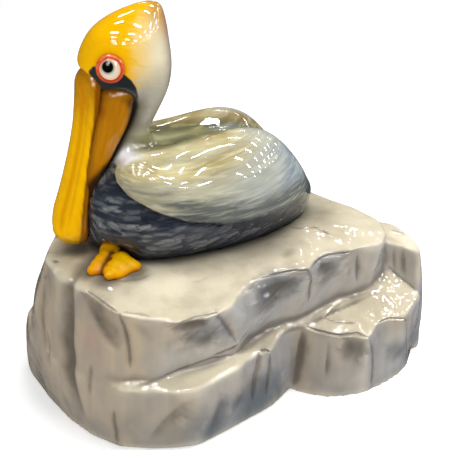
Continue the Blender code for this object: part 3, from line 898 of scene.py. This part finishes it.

# Carved lines: width, depth, how dark the line and the painted shade beside it are, and where they run, in
# metres.
cracks = {
    "farLine": (0.003, 0.0018, 0.6, [
        (0.06, -0.43, 0.192), (0.072, -0.432, 0.182), (0.08, -0.434, 0.16), (0.092, -0.438, 0.13)]),
    "rimLeft": (0.0036, 0.0026, 0.9, [
        (0.15, -0.372, 0.325), (0.158, -0.366, 0.325), (0.17, -0.36, 0.323), (0.185, -0.354, 0.32),
        (0.205, -0.346, 0.315), (0.232, -0.333, 0.312)]),
    "cornerDown": (0.0036, 0.0032, 1, [
        (0.235, -0.33, 0.312), (0.244, -0.325, 0.29), (0.246, -0.321, 0.255), (0.246, -0.319, 0.22),
        (0.246, -0.319, 0.188)]),
    "rimFront": (0.0032, 0.0022, 0.8, [
        (0.235, -0.327, 0.314), (0.246, -0.31, 0.313), (0.254, -0.295, 0.311), (0.266, -0.28, 0.309)]),
    "blockArch": (0.004, 0.004, 1, [
        (0.285, -0.255, 0.29), (0.292, -0.24, 0.294), (0.295, -0.22, 0.299), (0.293, -0.2, 0.304),
        (0.293, -0.178, 0.306), (0.294, -0.162, 0.301), (0.288, -0.145, 0.28), (0.271, -0.12, 0.236),
        (0.255, -0.096, 0.192)]),
    "lowFace": (0.0036, 0.003, 0.9, [
        (0.246, -0.357, 0.096), (0.247, -0.359, 0.07), (0.25, -0.357, 0.045), (0.247, -0.358, 0.012)]),
    "frontCrease": (0.0034, 0.0018, 0.75, [
        (0.254, -0.315, 0.15), (0.259, -0.29, 0.151), (0.26, -0.265, 0.155), (0.256, -0.225, 0.16),
        (0.254, -0.19, 0.164), (0.254, -0.15, 0.17), (0.251, -0.1, 0.158)]),
    "blockFoot": (0.004, 0.002, 0.85, [
        (0.26, -0.15, 0.175), (0.256, -0.12, 0.18), (0.246, -0.085, 0.176)]),
    "behindTail": (0.0028, 0.002, 0.9, [
        (0.098, 0.098, 0.335), (0.113, 0.117, 0.335), (0.121, 0.15, 0.335), (0.137, 0.16, 0.335),
        (0.162, 0.166, 0.33)]),
    "rimRight": (0.0036, 0.0026, 0.9, [
        (0.249, -0.04, 0.325), (0.246, -0.015, 0.326), (0.246, 0.01, 0.326), (0.25, 0.04, 0.325),
        (0.256, 0.064, 0.318), (0.247, 0.078, 0.29), (0.226, 0.087, 0.238), (0.212, 0.092, 0.205)]),
    "rimRear": (0.0034, 0.0022, 0.85, [
        (0.25, 0.078, 0.318), (0.238, 0.096, 0.324), (0.228, 0.118, 0.326), (0.225, 0.146, 0.326),
        (0.23, 0.172, 0.322), (0.228, 0.192, 0.315)]),
    "rearWallLine": (0.004, 0.0026, 0.6, [
        (0.219, 0.201, 0.311), (0.206, 0.206, 0.272), (0.196, 0.217, 0.228)]),
    "rearTopLine": (0.0032, 0.002, 0.7, [
        (0.12, 0.345, 0.29), (0.136, 0.36, 0.286), (0.15, 0.37, 0.28)]),
    "rearCrease": (0.0034, 0.002, 0.8, [
        (0.173, 0.31, 0.226), (0.19, 0.33, 0.206), (0.208, 0.35, 0.186), (0.22, 0.361, 0.174)]),
    "stepRim": (0.0038, 0.003, 1, [
        (0.219, 0.084, 0.155), (0.231, 0.1, 0.151), (0.25, 0.12, 0.148), (0.263, 0.139, 0.147),
        (0.27, 0.157, 0.149), (0.275, 0.178, 0.15), (0.29, 0.2, 0.137)]),
    "stepDown": (0.0036, 0.0034, 0.95, [
        (0.29, 0.203, 0.134), (0.287, 0.213, 0.095), (0.29, 0.215, 0.055), (0.29, 0.214, 0.008)]),
    "stepTop": (0.003, 0.002, 0.85, [
        (0.215, 0.125, 0.165), (0.233, 0.144, 0.164), (0.248, 0.168, 0.161), (0.255, 0.19, 0.16)]),
    "stepTopBack": (0.005, 0.0016, 0.45, [
        (0.216, 0.127, 0.165), (0.206, 0.15, 0.174), (0.2, 0.176, 0.181)]),
    "stepRim2": (0.0034, 0.002, 0.6, [
        (0.258, 0.236, 0.148), (0.256, 0.27, 0.15), (0.264, 0.296, 0.146), (0.257, 0.318, 0.13)]),
    "stepEdge": (0.004, 0.0024, 0.6, [
        (0.259, 0.316, 0.126), (0.259, 0.318, 0.085), (0.252, 0.334, 0.018)]),
    "notchTop": (0.0036, 0.0028, 1, [
        (0.245, -0.04, 0.146), (0.245, -0.026, 0.146), (0.246, -0.016, 0.137)]),
    "notchLeft": (0.008, 0.0045, 0.75, [
        (0.246, -0.041, 0.144), (0.255, -0.05, 0.12), (0.264, -0.064, 0.09), (0.27, -0.072, 0.05)]),
    "notchRight": (0.004, 0.0034, 0.9, [
        (0.246, -0.016, 0.137), (0.255, -0.021, 0.11), (0.264, -0.03, 0.078), (0.27, -0.034, 0.045)]),
}

# Wider grooves and hollows, given in the same way, with how dark their painted shade is; a last triple is the
# side a hollow and its shade spread to.
grooves = {
    "leftBand": (0.013, 0.005, 0.75, [
        (0.095, -0.36, 0.335), (0.122, -0.388, 0.318), (0.13, -0.395, 0.29), (0.132, -0.397, 0.25),
        (0.135, -0.405, 0.2), (0.15, -0.41, 0.15), (0.165, -0.41, 0.1),
        (0.175, -0.405, 0.045)], (-0.5, -0.8, 0.0)),
    "leftLine": (0.005, 0.002, 0.6, [
        (0.112, -0.392, 0.315), (0.117, -0.398, 0.28), (0.117, -0.402, 0.23), (0.122, -0.408, 0.19),
        (0.135, -0.412, 0.14)]),
    "facet": (0.019, 0.006, 0.7, [
        (0.155, -0.375, 0.32), (0.185, -0.365, 0.285), (0.215, -0.35, 0.25),
        (0.235, -0.335, 0.23)], (0.0, 0.4, 1.0)),
    "facetFace": (0.03, 0.003, 0.4, [
        (0.165, -0.37, 0.31), (0.2, -0.36, 0.3), (0.23, -0.34, 0.275)]),
    "lineDown": (0.006, 0.002, 0.5, [
        (0.185, -0.38, 0.175), (0.19, -0.385, 0.145), (0.195, -0.39, 0.11)]),
    "farColumn": (0.014, 0.002, 0.45, [
        (0.03, -0.415, 0.29), (0.03, -0.42, 0.27), (0.04, -0.43, 0.205), (0.065, -0.44, 0.15)]),
    "farSpot": (0.011, 0.002, 0.5, [(0.022, -0.415, 0.303), (0.03, -0.415, 0.29)]),
    "blockUnder": (0.01, 0.004, 0.85, [
        (0.288, -0.25, 0.285), (0.293, -0.23, 0.292), (0.297, -0.2, 0.296),
        (0.296, -0.168, 0.293)], (0.0, 0.0, -1.0)),
    "blockFace": (0.04, 0.004, 0.6, [
        (0.275, -0.225, 0.24), (0.28, -0.18, 0.245), (0.275, -0.145, 0.23)]),
    "cornerFacet": (0.013, 0.002, 0.3, [
        (0.255, -0.315, 0.3), (0.265, -0.3, 0.28), (0.27, -0.275, 0.25)]),
    "lowDiagonal": (0.012, 0.003, 0.45, [
        (0.28, -0.3, 0.03), (0.29, -0.27, 0.075), (0.303, -0.235, 0.112),
        (0.31, -0.205, 0.12)], (0.0, 0.6, -0.8)),
    "lowDiagonal2": (0.016, 0.002, 0.25, [(0.255, -0.35, 0.05), (0.275, -0.315, 0.1)]),
    "slateHollow": (0.016, 0.006, 0.35, [
        (0.305, -0.17, 0.02), (0.302, -0.16, 0.06), (0.298, -0.145, 0.095)], (0.2, 0.9, 0.0)),
    "slateHollow2": (0.01, 0.003, 0.35, [
        (0.29, -0.11, 0.06), (0.285, -0.095, 0.085)], (0.2, 0.9, 0.0)),
    "scoopTop": (0.019, 0.005, 0.95, [
        (0.266, -0.045, 0.298), (0.26, -0.02, 0.3), (0.258, 0.01, 0.3),
        (0.262, 0.04, 0.3)], (0.0, 0.0, -1.0)),
    "scoopSlant": (0.008, 0.003, 0.6, [
        (0.262, 0.01, 0.288), (0.262, -0.015, 0.262), (0.258, -0.04, 0.235)], (0.0, 0.7, 0.5)),
    "scoopFace": (0.042, 0.003, 0.45, [
        (0.275, -0.055, 0.275), (0.262, 0.0, 0.265), (0.248, 0.05, 0.262)]),
    "archLeft": (0.015, 0.003, 0.8, [
        (0.246, 0.092, 0.302), (0.24, 0.115, 0.308), (0.236, 0.145, 0.31)], (0.0, 0.0, -1.0)),
    "archFace": (0.038, 0.003, 0.55, [(0.238, 0.11, 0.275), (0.225, 0.16, 0.275)]),
    "flute": (0.007, 0.003, 0.55, [
        (0.216, 0.203, 0.302), (0.205, 0.212, 0.26), (0.195, 0.22, 0.22)]),
    "flute2": (0.007, 0.002, 0.4, [(0.212, 0.185, 0.285), (0.2, 0.195, 0.235)]),
    # painted shade only, along the foot of the wall
    "wallFoot": (0.007, 0, 0.6, [
        (0.23, -0.005, 0.152), (0.22, 0.045, 0.152), (0.216, 0.095, 0.157), (0.212, 0.14, 0.165),
        (0.212, 0.185, 0.178), (0.208, 0.24, 0.185), (0.205, 0.295, 0.195)], (0.3, -0.2, 1.0)),
    "rearFlute": (0.006, 0.0025, 0.6, [(0.175, 0.32, 0.275), (0.18, 0.325, 0.21)]),
    "rearFlute2": (0.006, 0.003, 0.5, [
        (0.185, 0.34, 0.27), (0.192, 0.345, 0.21)], (-0.4, -0.9, 0.0)),
    "stepJoin": (0.008, 0.003, 0.95, [
        (0.216, 0.075, 0.15), (0.217, 0.07, 0.11), (0.22, 0.061, 0.06),
        (0.224, 0.055, 0.012)], (0.4, 0.9, 0.0)),
    "stepLeft": (0.012, 0.002, 0.5, [(0.226, 0.081, 0.13), (0.231, 0.081, 0.08)]),
    "stepFlute": (0.006, 0.0025, 0.55, [
        (0.256, 0.116, 0.135), (0.262, 0.113, 0.09), (0.266, 0.11, 0.045)], (0.2, 0.9, 0.0)),
    "stepPatch": (0.03, 0.0025, 0.75, [
        (0.27, 0.142, 0.128), (0.282, 0.17, 0.116), (0.287, 0.186, 0.096)]),
    # shallow dips on the top with painted shadow of the bird
    "topSmudge": (0.009, 0.0008, 0.35, [(0.195, 0.03, 0.33), (0.17, 0.07, 0.33)]),
    "topSmudge2": (0.008, 0.0008, 0.3, [(0.145, 0.01, 0.33), (0.135, 0.045, 0.335)]),
    "behindFoot": (0.005, 0.0015, 0.55, [
        (0.135, -0.32, 0.335), (0.155, -0.295, 0.332), (0.16, -0.26, 0.33), (0.145, -0.215, 0.33)]),
    # painted shadow beside the bird's front, over a shallow dip
    "besideBird": (0.007, 0.001, 0.35, [
        (0.193, -0.185, 0.32), (0.2, -0.15, 0.321), (0.188, -0.118, 0.322)]),
    "topNick": (0.006, 0.0022, 0.6, [(0.028, -0.402, 0.335), (0.046, -0.394, 0.335)]),
    "backFlute": (0.02, 0.006, 0.6, [
        (-0.24, -0.16, 0.32), (-0.265, -0.16, 0.24), (-0.29, -0.15, 0.12), (-0.3, -0.14, 0.03)]),
    "backFlute2": (0.018, 0.005, 0.6, [
        (-0.24, 0.08, 0.315), (-0.265, 0.09, 0.24), (-0.285, 0.09, 0.12), (-0.295, 0.08, 0.03)]),
    "backFlute3": (0.016, 0.005, 0.5, [
        (-0.12, -0.35, 0.32), (-0.15, -0.375, 0.24), (-0.17, -0.39, 0.12), (-0.18, -0.39, 0.03)]),
    "backFlute4": (0.018, 0.005, 0.5, [
        (-0.06, 0.25, 0.315), (-0.08, 0.4, 0.23), (-0.09, 0.42, 0.12), (-0.09, 0.43, 0.03)]),
    "backFlute5": (0.014, 0.0045, 0.6, [
        (-0.262, -0.05, 0.325), (-0.28, -0.045, 0.22), (-0.3, -0.03, 0.09)]),
}

# Sprayed patches with no carving, by colour: width, how strong, and where they run.
sprays = {
    "rosy": [
        (0.028, 0.6, [(0.175, -0.375, 0.265), (0.182, -0.375, 0.225), (0.19, -0.37, 0.195)]),
    ],
    # painted shade in blue-grey: under the rims and arches, and low on the walls
    "slate": [
        (0.034, 0.75, [(0.3, -0.19, 0.0), (0.302, -0.16, 0.05), (0.298, -0.135, 0.105)]),
        (0.024, 0.7, [(0.29, -0.12, 0.045), (0.285, -0.095, 0.09)]),
        (0.05, 0.6, [(0.295, -0.23, 0.07), (0.3, -0.19, 0.05)]),
        (0.06, 0.8, [(0.295, -0.13, 0.06), (0.28, -0.08, 0.06), (0.25, 0.02, 0.06)]),
        (0.05, 0.6, [(0.285, -0.235, 0.26), (0.285, -0.18, 0.26), (0.275, -0.14, 0.225)]),
        (0.055, 0.95, [(0.258, -0.06, 0.29), (0.25, 0.0, 0.28), (0.245, 0.05, 0.275)]),
        (0.045, 0.6, [(0.228, 0.11, 0.29), (0.215, 0.16, 0.29)]),
        (0.035, 0.6, [(0.29, 0.25, 0.08), (0.27, 0.32, 0.06)]),
    ],
    # painted light: brighter patches on the ledge and on part of the top
    "pale": [
        (0.022, 0.9, [
            (0.28, -0.22, 0.15), (0.275, -0.165, 0.152), (0.262, -0.1, 0.152), (0.246, -0.04, 0.15)]),
        (0.03, 0.8, [(0.175, -0.17, 0.33), (0.19, -0.22, 0.328), (0.17, -0.27, 0.33)]),
    ],
    # painted shadow of the bird on the top, beside it
    "umber": [
        (0.05, 0.45, [(0.15, -0.05, 0.33), (0.155, 0.01, 0.33), (0.15, 0.07, 0.33)]),
        (0.012, 0.6, [(0.205, 0.03, 0.33), (0.18, 0.07, 0.33)]),
        (0.012, 0.45, [(0.15, 0.005, 0.33), (0.13, 0.05, 0.335)]),
    ],
    "olive": [
        (0.045, 0.55, [(0.045, 0.155, 0.33), (0.065, 0.195, 0.335), (0.07, 0.235, 0.335)]),
        # painted shadow on the top by the tip of the bill
        (0.02, 0.85, [(0.0, -0.372, 0.336), (0.02, -0.352, 0.338), (0.036, -0.33, 0.339)]),
        (0.035, 0.35, [(0.065, -0.4, 0.336), (0.06, -0.365, 0.338)]),
    ],
}


def routePoints(routes, tree, step=0.0015):  # points along each route, laid on the surface
    places, facts = [], []
    for width, depth, dark, corners in routes.values():
        corners = [Vector(corner) for corner in corners]
        lengths = [(b - a).length for a, b in zip(corners, corners[1:])]
        whole, done = sum(lengths), 0.0
        for a, b, length in zip(corners, corners[1:], lengths):
            for k in range(max(2, int(length / step))):
                share = k / max(2, int(length / step))
                at = (done + share * length) / whole
                place = a.lerp(b, share)
                spots = [place * 55 + Vector(shift) for shift in ((0, 0, 0), (9, 0, 0), (0, 9, 0))]
                wander = Vector([noise.noise(spot) for spot in spots])
                place = tree.find_nearest(place + wander * width * 0.35)[0]
                taper = min(1.0, 6 * at, 6 * (1 - at)) ** 0.5
                places.append(place)
                facts.append((width * (0.55 + 0.45 * taper), depth * taper, dark * taper))
            done += length
    found = KDTree(len(places))
    for index, place in enumerate(places):
        found.insert(place, index)
    found.balance()
    return found, np.array(facts)


def alongRoutes(points, found, facts, reach):
    # for each point: distance over width, depth and darkness of the nearest route
    far, depth, dark = np.full(len(points), 9.0), np.zeros(len(points)), np.zeros(len(points))
    for k, point in enumerate(points):
        _, index, distance = found.find(point)
        if distance < reach:
            far[k], depth[k], dark[k] = distance / facts[index, 0], facts[index, 1], facts[index, 2]
    return far, depth, dark


def alongSoft(points, tree, corners, width, spread=None):
    # 1 on the route, fading out over its width, and further out on the side it spreads to
    route = []
    for a, b in zip(corners, corners[1:]):
        a, b = Vector(a), Vector(b)
        steps = max(1, round((b - a).length / 0.012))
        route += [tree.find_nearest(a.lerp(b, k / steps))[0][:] for k in range(steps)]
    route = np.array(route + [tree.find_nearest(Vector(corners[-1]))[0][:]])
    near = np.flatnonzero(((points > route.min(0) - 4 * width) & (points < route.max(0) + 4 * width)).all(1))
    far, strong = np.full(len(near), 9.0), np.ones(len(near))
    for k, (a, b) in enumerate(zip(route, route[1:])):
        along = b - a
        share = np.clip(((points[near] - a) @ along) / max(along @ along, 1e-12), 0, 1)
        swell = np.sin(np.pi * np.clip((k + share) / (len(route) - 1), 0, 1)) ** 0.5
        local = width * (0.55 + 0.45 * swell)  # narrower and fainter towards both ends
        off = points[near] - a - share[:, None] * along
        here = np.linalg.norm(off, axis=1)
        if spread is not None:
            lean = off @ (np.array(spread) / np.linalg.norm(spread)) / np.maximum(here, 1e-9)
            local = local * np.where(lean > 0, 1 + 1.4 * lean, 1 + 0.6 * lean)
        strong = np.where(here / local < far, 0.25 + 0.75 * swell, strong)
        far = np.minimum(far, here / local)
    made = np.zeros(len(points))
    made[near] = strong * np.exp(-(far**2))
    return made


def beyondScoops(points):  # how far each point stands out over the scoops' slopes
    rimLine = np.interp(points[:, 1], scoops["y"], scoops["x"])
    lean = math.radians(scoops["slope"])
    return (points[:, 0] - rimLine) * math.sin(lean) + (points[:, 2] - scoops["z"]) * math.cos(lean)


def surfaceTree(mesh, points):
    return BVHTree.FromPolygons([Vector(p) for p in points], [tuple(face.vertices) for face in mesh.polygons])


def rockForm(mesh):  # the whole rock's shape, before anything is carved
    points, edges = pointsOf(mesh), edgesOf(mesh)
    # two scoops are cut from the summit's rim
    lean = math.radians(scoops["slope"])
    outside = np.clip(beyondScoops(points), 0, None) * (points[:, 0] > 0.15) * (points[:, 2] > 0.17)
    points -= outside[:, None] * np.array((math.sin(lean), 0, math.cos(lean)))
    cut = ramp(relax(outside, edges, 0.6, 6), 0.0005, 0.006)
    points = relax(points, edges, 0.6 * cut, rock["softenScoops"])
    # the front stands a little fuller between the summit and the base
    fuller = hump(points[:, 0], -0.02, 0.12) * hump(points[:, 2], 0.232, 0.075) * (points[:, 1] < -0.3)
    points += rock["fuller"] * fuller[:, None] * np.array((-0.4, -0.9, 0))
    floor = points[:, 2] < 0.004
    points = relax(points, edges, 0.6 * np.where(floor, 0.0, 1.0), rock["soften"])
    movePoints(mesh, points)
    # the tops are evened out in height only
    level = ramp(relax(normalsOf(mesh)[:, 2], edges, 0.6, 4), 0.8, 0.93)
    points[:, 2] = relax(points[:, 2], edges, 0.6 * level, rock["softenTops"])
    movePoints(mesh, points)
    normals = normalsOf(mesh)
    height = ramp(points[:, 2], 0.0, 0.03)
    wall = fade(np.abs(normals[:, 2]), 0.3, 0.7)
    (broad, broadWidth), (dents, dentWidth) = rock["broad"], rock["dents"]
    flutes, fluteWidth = rock["flutes"]
    swell = broad * mottle(points, broadWidth, 1.0) + dents * mottle(points, dentWidth, 2.0)
    upright = flutes * mottle(points * np.array((1, 1, 0.14)), fluteWidth, 4.0) * wall
    return push(mesh, points, (swell + upright - 0.001) * height)


def rockSkin():
    piece = skinOver("rockSkin", rock)
    mesh = piece.data
    points = rockForm(mesh)

    # grooves and hollows are carved first, then the thin cracks into a finer mesh
    tree = surfaceTree(mesh, points)
    carved = np.zeros(len(points))
    for width, depth, _, corners, *spread in grooves.values():
        carved = np.maximum(carved, depth * alongSoft(points, tree, corners, width, *spread))
    points = push(mesh, points, -carved)

    tree = surfaceTree(mesh, points)
    thin, thinFacts = routePoints(cracks, tree)
    for reach in rock["fineReach"]:
        refine(piece, lambda at: alongRoutes(at, thin, thinFacts, reach)[0] < 8)
    points, edges = pointsOf(mesh), edgesOf(mesh)
    points = relax(points, edges, 0.4 * (points[:, 2] > 0.004), 1)
    far, depth, _ = alongRoutes(points, thin, thinFacts, 0.02)
    points = push(mesh, points, -depth * np.exp(-((far * 1.6) ** 2)))
    points[:, 2] = np.maximum(points[:, 2], 0.0)
    movePoints(mesh, points)

    # what the paint reads: painted shade along the carving, sprayed patches, painted shade and shadow, and
    # painted highlight on the rims
    normals = normalsOf(mesh)
    calm = relax(normals, edges, 0.7, 12)
    hollow = np.einsum("ij,ij->i", relax(points, edges, 0.7, 30) - points, normals)
    far, _, dark = alongRoutes(points, thin, thinFacts, 0.03)
    # painted shade beside the cracks and along the grooves
    halo = 0.5 * dark * np.exp(-((far / 3.0) ** 2))
    for width, _, strength, corners, *spread in grooves.values():
        halo = np.maximum(halo, strength * alongSoft(points, tree, corners, width * 1.1, *spread))
    for colour, patches in sprays.items():
        sprayed = [strength * alongSoft(points, tree, corners, width) for width, strength, corners in patches]
        keep(mesh, **{colour: np.max(sprayed, axis=0)})
    toBird = toNodes(points, "trunk", "tail", "bill_upper", "foot_left", "foot_right", most=0.12)
    y, z = points[:, 1], points[:, 2]
    scooped = ramp(beyondScoops(points), -0.008, -0.002) * ramp(-z, -0.326, -0.318) * (z > 0.17)
    keep(
        mesh,
        up=relax(normals[:, 2], edges, 0.7, 5),
        crack=dark * np.exp(-((far * 1.7) ** 2)),
        halo=halo * np.clip(0.97 + 0.22 * mottle(points, 0.04, 6.0), 0.6, 1.1),
        # painted shadow on the rock right where the bird sits on it
        contact=fade(toBird, 0.001, 0.032) * (1 - 0.5 * ramp(y, 0.04, 0.12)),
        # painted shadow of the bird, spreading over the top around it
        nearBird=fade(toBird, 0.01, 0.1) * (0.3 + 0.7 * ramp(y, -0.2, -0.04)),
        # painted shade in the hollows
        sunk=ramp(hollow, 0.0004, 0.004),
        # painted highlight on the convex rims
        rim=ramp(-hollow, 0.001, 0.005),
        warm=ramp(-calm[:, 1], -0.15, 0.55) * (1 - 0.6 * ramp(y, 0.0, 0.2)),
        right=ramp(calm[:, 1], -0.1, 0.5) * fade(calm[:, 2], 0.4, 0.7),
        # painted shade low on the walls, near the floor
        low=fade(z, 0.0, 0.13),
        scoop=scooped * ramp(y, -0.165, -0.13) * fade(y, 0.19, 0.21),
        # the varnish is duller on top of the side step
        worn=ramp(z, 0.14, 0.17) * fade(z, 0.24, 0.28) * ramp(y, 0.14, 0.2),
    )
    return piece


def rockPaint(tree):
    cloud = strokes(tree, (0.11, 0.11, 0.11), detail=2)
    cloud2 = strokes(tree, (0.07, 0.07, 0.1), detail=2, low=0.45, high=0.68)
    cloud3 = strokes(tree, (0.14, 0.1, 0.12), turn=(0.4, 0.3, 0.9), detail=2, low=0.45, high=0.65)
    mist = strokes(tree, (0.03, 0.03, 0.04), detail=3)
    fall = strokes(tree, (0.03, 0.03, 0.24), detail=2, twist=0.3)
    speck = strokes(tree, (0.004, 0.004, 0.004), detail=2, low=0.5, high=0.75)
    # cream on level tops, but hardly in the scoops
    flat = scaled(tree, attribute(tree, "scoop"), -0.85, 1.0)
    top = times(tree, eased(tree, attribute(tree, "up"), 0.3, 0.75), flat)
    sideways = scaled(tree, top, -1.0, 1.0)
    layers = [
        ("#b4a084", "warm", 0.75),
        ("#9fa1a8", "right", 0.7),
        ("#b48f7a", "rosy", 0.8),
        ("#8e8880", sideways, cloud2, 0.4),
        ("#bdab90", sideways, cloud3, 0.35),
        ("#8f8c88", sideways, fall, 0.35),
        # painted shade low on the walls
        ("#6d7174", sideways, "low", cloud, 0.7),
        ("#dfd3b7", brushed(tree, top, mist, 0.3)),
        ("#b5a88e", top, cloud2, 0.5),
        ("#cdbfa2", top, cloud3, 0.4),
        ("#ebe1c8", top, mist, 0.25),
        # painted highlight on the convex rims
        ("#e4dac4", "rim", 0.4),
        # painted light on the ledge and part of the top
        ("#fff3d4", top, "pale", 0.9),
        # painted shadow around the bird
        ("#8f8675", "nearBird", 0.45),
        ("#6c6a55", "olive", 0.8),
        # painted shadow beside the bird
        ("#6f6760", "umber", 0.8),
        # blue-grey painted shade
        ("#525a61", brushed(tree, "slate", mist, 0.15), 0.8),
        # painted shade along the carving, browner on the warm faces
        ("#5c5751", brushed(tree, "halo", mist, 0.15), 0.95),
        ("#6b5d4a", "halo", "warm", 0.5),
        # painted shade in the hollows
        ("#6b6156", "sunk", 0.6),
        # painted shadow where the bird sits on the rock
        ("#4e4d46", "contact", 0.75),
        ("#8d8272", speck, 0.1),
        ("#322a24", "crack", 0.95),
    ]
    return paintLayers(tree, "#b3ada3", layers), mist


# Make everything.


piece = birdSkin()
plumage = glossCoat("airbrushedPlumageClearCoat", birdPaint, "bird")
finishPiece(piece, plumage, "painted_plumage", *skin["nodes"])
print("bird skin done")
horn = glossCoat("airbrushedBillClearCoat", billPaint, "bird", "bill")
finishPiece(upperBill(), horn, "painted_bill", "bill_upper")
piece = pouchSkin()
leather = glossCoat("airbrushedPouchClearCoat", pouchPaint, "bird", "bill")
finishPiece(piece, leather, "painted_bill", "pouch")
print("bill and pouch done")
iris = glossCoat("handPaintedIrisClearCoat", irisPaint, "eye")
lid = glossCoat("handPaintedEyeRingClearCoat", ringPaint, "eye")
for side in ("left", "right"):
    finishPiece(eyeBall("eyeBall" + side.capitalize(), "eye_" + side), iris, "painted_eye", "eye_" + side)
    finishPiece(eyeRing("eyeRing" + side.capitalize(), "eye_" + side), lid, "painted_eye")
print("eyes done")
web = glossCoat("airbrushedFeetClearCoat", footPaint, "feet")
for side in ("left", "right"):
    finishPiece(footSkin("foot" + side.capitalize(), "foot_" + side), web, "painted_feet", "foot_" + side)
print("feet done")
piece = rockSkin()
stone = glossCoat("airbrushedRockClearCoat", rockPaint, "rock")
finishPiece(piece, stone, "painted_rock", *rock["nodes"])
print("rock done")


# Floor, light and camera.

studio = {
    "azimuth": 66.0, "elevation": 28.0, "distance": 2.1, "lens": 76.36,
    "aim": (0.0025, -0.0095, 0.317),
    "world": 0.55, "mirroredWorld": 0.05, "floorReach": 14,
    # soft boxes: how far right, back towards the camera and up from the aim, then side and power
    "softOverhead": (0.9, -0.2, 3.0, 2.6, 95),
    "softFront": (-1.4, 2.6, 1.6, 1.8, 14),
    # ceiling tubes: how far back each row hangs, and how far right its first tube is
    "rows": [3.5, 2.8, 2.1, 1.4, 0.7, 0.0, -0.8, -2.9], "tubesUp": 2.5,
    "columns": 6, "firstColumn": -0.7, "columnGap": 1.25,
    "tube": (0.6, 0.07), "tubePower": 12.5, "tubeTurn": -26,
}


def paleFloor():
    bm = bmesh.new()
    bmesh.ops.create_grid(bm, x_segments=1, y_segments=1, size=studio["floorReach"])
    floor = objectOf("floor", bm)
    material = bpy.data.materials.new("palePaintedFloor")
    material.use_nodes = True
    shader = material.node_tree.nodes["Principled BSDF"]
    shader.inputs["Base Color"].default_value = linear("#f6f6f5")
    shader.inputs["Roughness"].default_value = 0.7
    shader.inputs["Emission Color"].default_value = linear("#ffffff")
    shader.inputs["Emission Strength"].default_value = 0.35  # keeps the far floor as white as the near
    floor.data.materials.append(material)
    floor.visible_glossy = False  # keeps its white out of the varnish


def lamp(name, place, aim, size, power, seenBy):
    light = bpy.data.lights.new(name, "AREA")
    light.shape = "RECTANGLE"
    light.size, light.size_y = size
    light.energy = power
    holder = bpy.data.objects.new(name, light)
    holder.location = place
    holder.rotation_euler = (Vector(aim) - Vector(place)).to_track_quat("-Z", "Y").to_euler()
    holder.visible_diffuse = seenBy == "paint"  # the soft boxes light the paint,
    holder.visible_glossy = seenBy == "varnish"  # the tubes show only in the varnish
    bpy.context.scene.collection.objects.link(holder)
    return holder


def lights():
    world = bpy.data.worlds.new("paleRoom")
    world.use_nodes = True
    tree = world.node_tree
    tree.nodes["Background"].inputs[0].default_value = linear("#f4f6fa")
    # the room is dimmer in the varnish than on the paint, so that colours stay deep
    mirrored = addNode(tree, "LightPath").outputs["Is Glossy Ray"]
    strength = addNode(tree, "MapRange", {0: mirrored, 3: studio["world"], 4: studio["mirroredWorld"]})
    tree.links.new(strength.outputs[0], tree.nodes["Background"].inputs[1])
    bpy.context.scene.world = world
    turn = math.radians(studio["azimuth"])
    right = Vector((math.cos(turn), math.sin(turn), 0))
    back = Vector((math.sin(turn), -math.cos(turn), 0))
    middle = Vector(studio["aim"])
    for name in ("softOverhead", "softFront"):
        aside, behind, up, side, power = studio[name]
        place = middle + right * aside + back * behind + Vector((0, 0, up))
        lamp(name, place, middle, (side, side), power, "paint")
    # rows of ceiling tubes, whose reflections are the short dashes on the varnish
    for row, behind in enumerate(studio["rows"]):
        for column in range(studio["columns"]):
            aside = studio["firstColumn"] + column * studio["columnGap"]
            place = middle + back * behind + right * aside + Vector((0, 0, studio["tubesUp"]))
            name = "tube%d%d" % (row, column)
            tube = lamp(name, place, place, studio["tube"], studio["tubePower"], "varnish")
            tube.rotation_euler = (0, 0, turn + math.radians(studio["tubeTurn"]))


def camera():
    turn, rise = math.radians(studio["azimuth"]), math.radians(studio["elevation"])
    back = Vector((math.sin(turn) * math.cos(rise), -math.cos(turn) * math.cos(rise), math.sin(rise)))
    seen = bpy.data.cameras.new("camera")
    seen.lens, seen.sensor_width = studio["lens"], 36
    holder = bpy.data.objects.new("camera", seen)
    holder.location = Vector(studio["aim"]) + back * studio["distance"]
    holder.rotation_euler = (-back).to_track_quat("-Z", "Y").to_euler()
    bpy.context.scene.collection.objects.link(holder)
    bpy.context.scene.camera = holder


paleFloor()
lights()
camera()
bpy.context.scene.view_settings.view_transform = "Standard"
print("studio done")
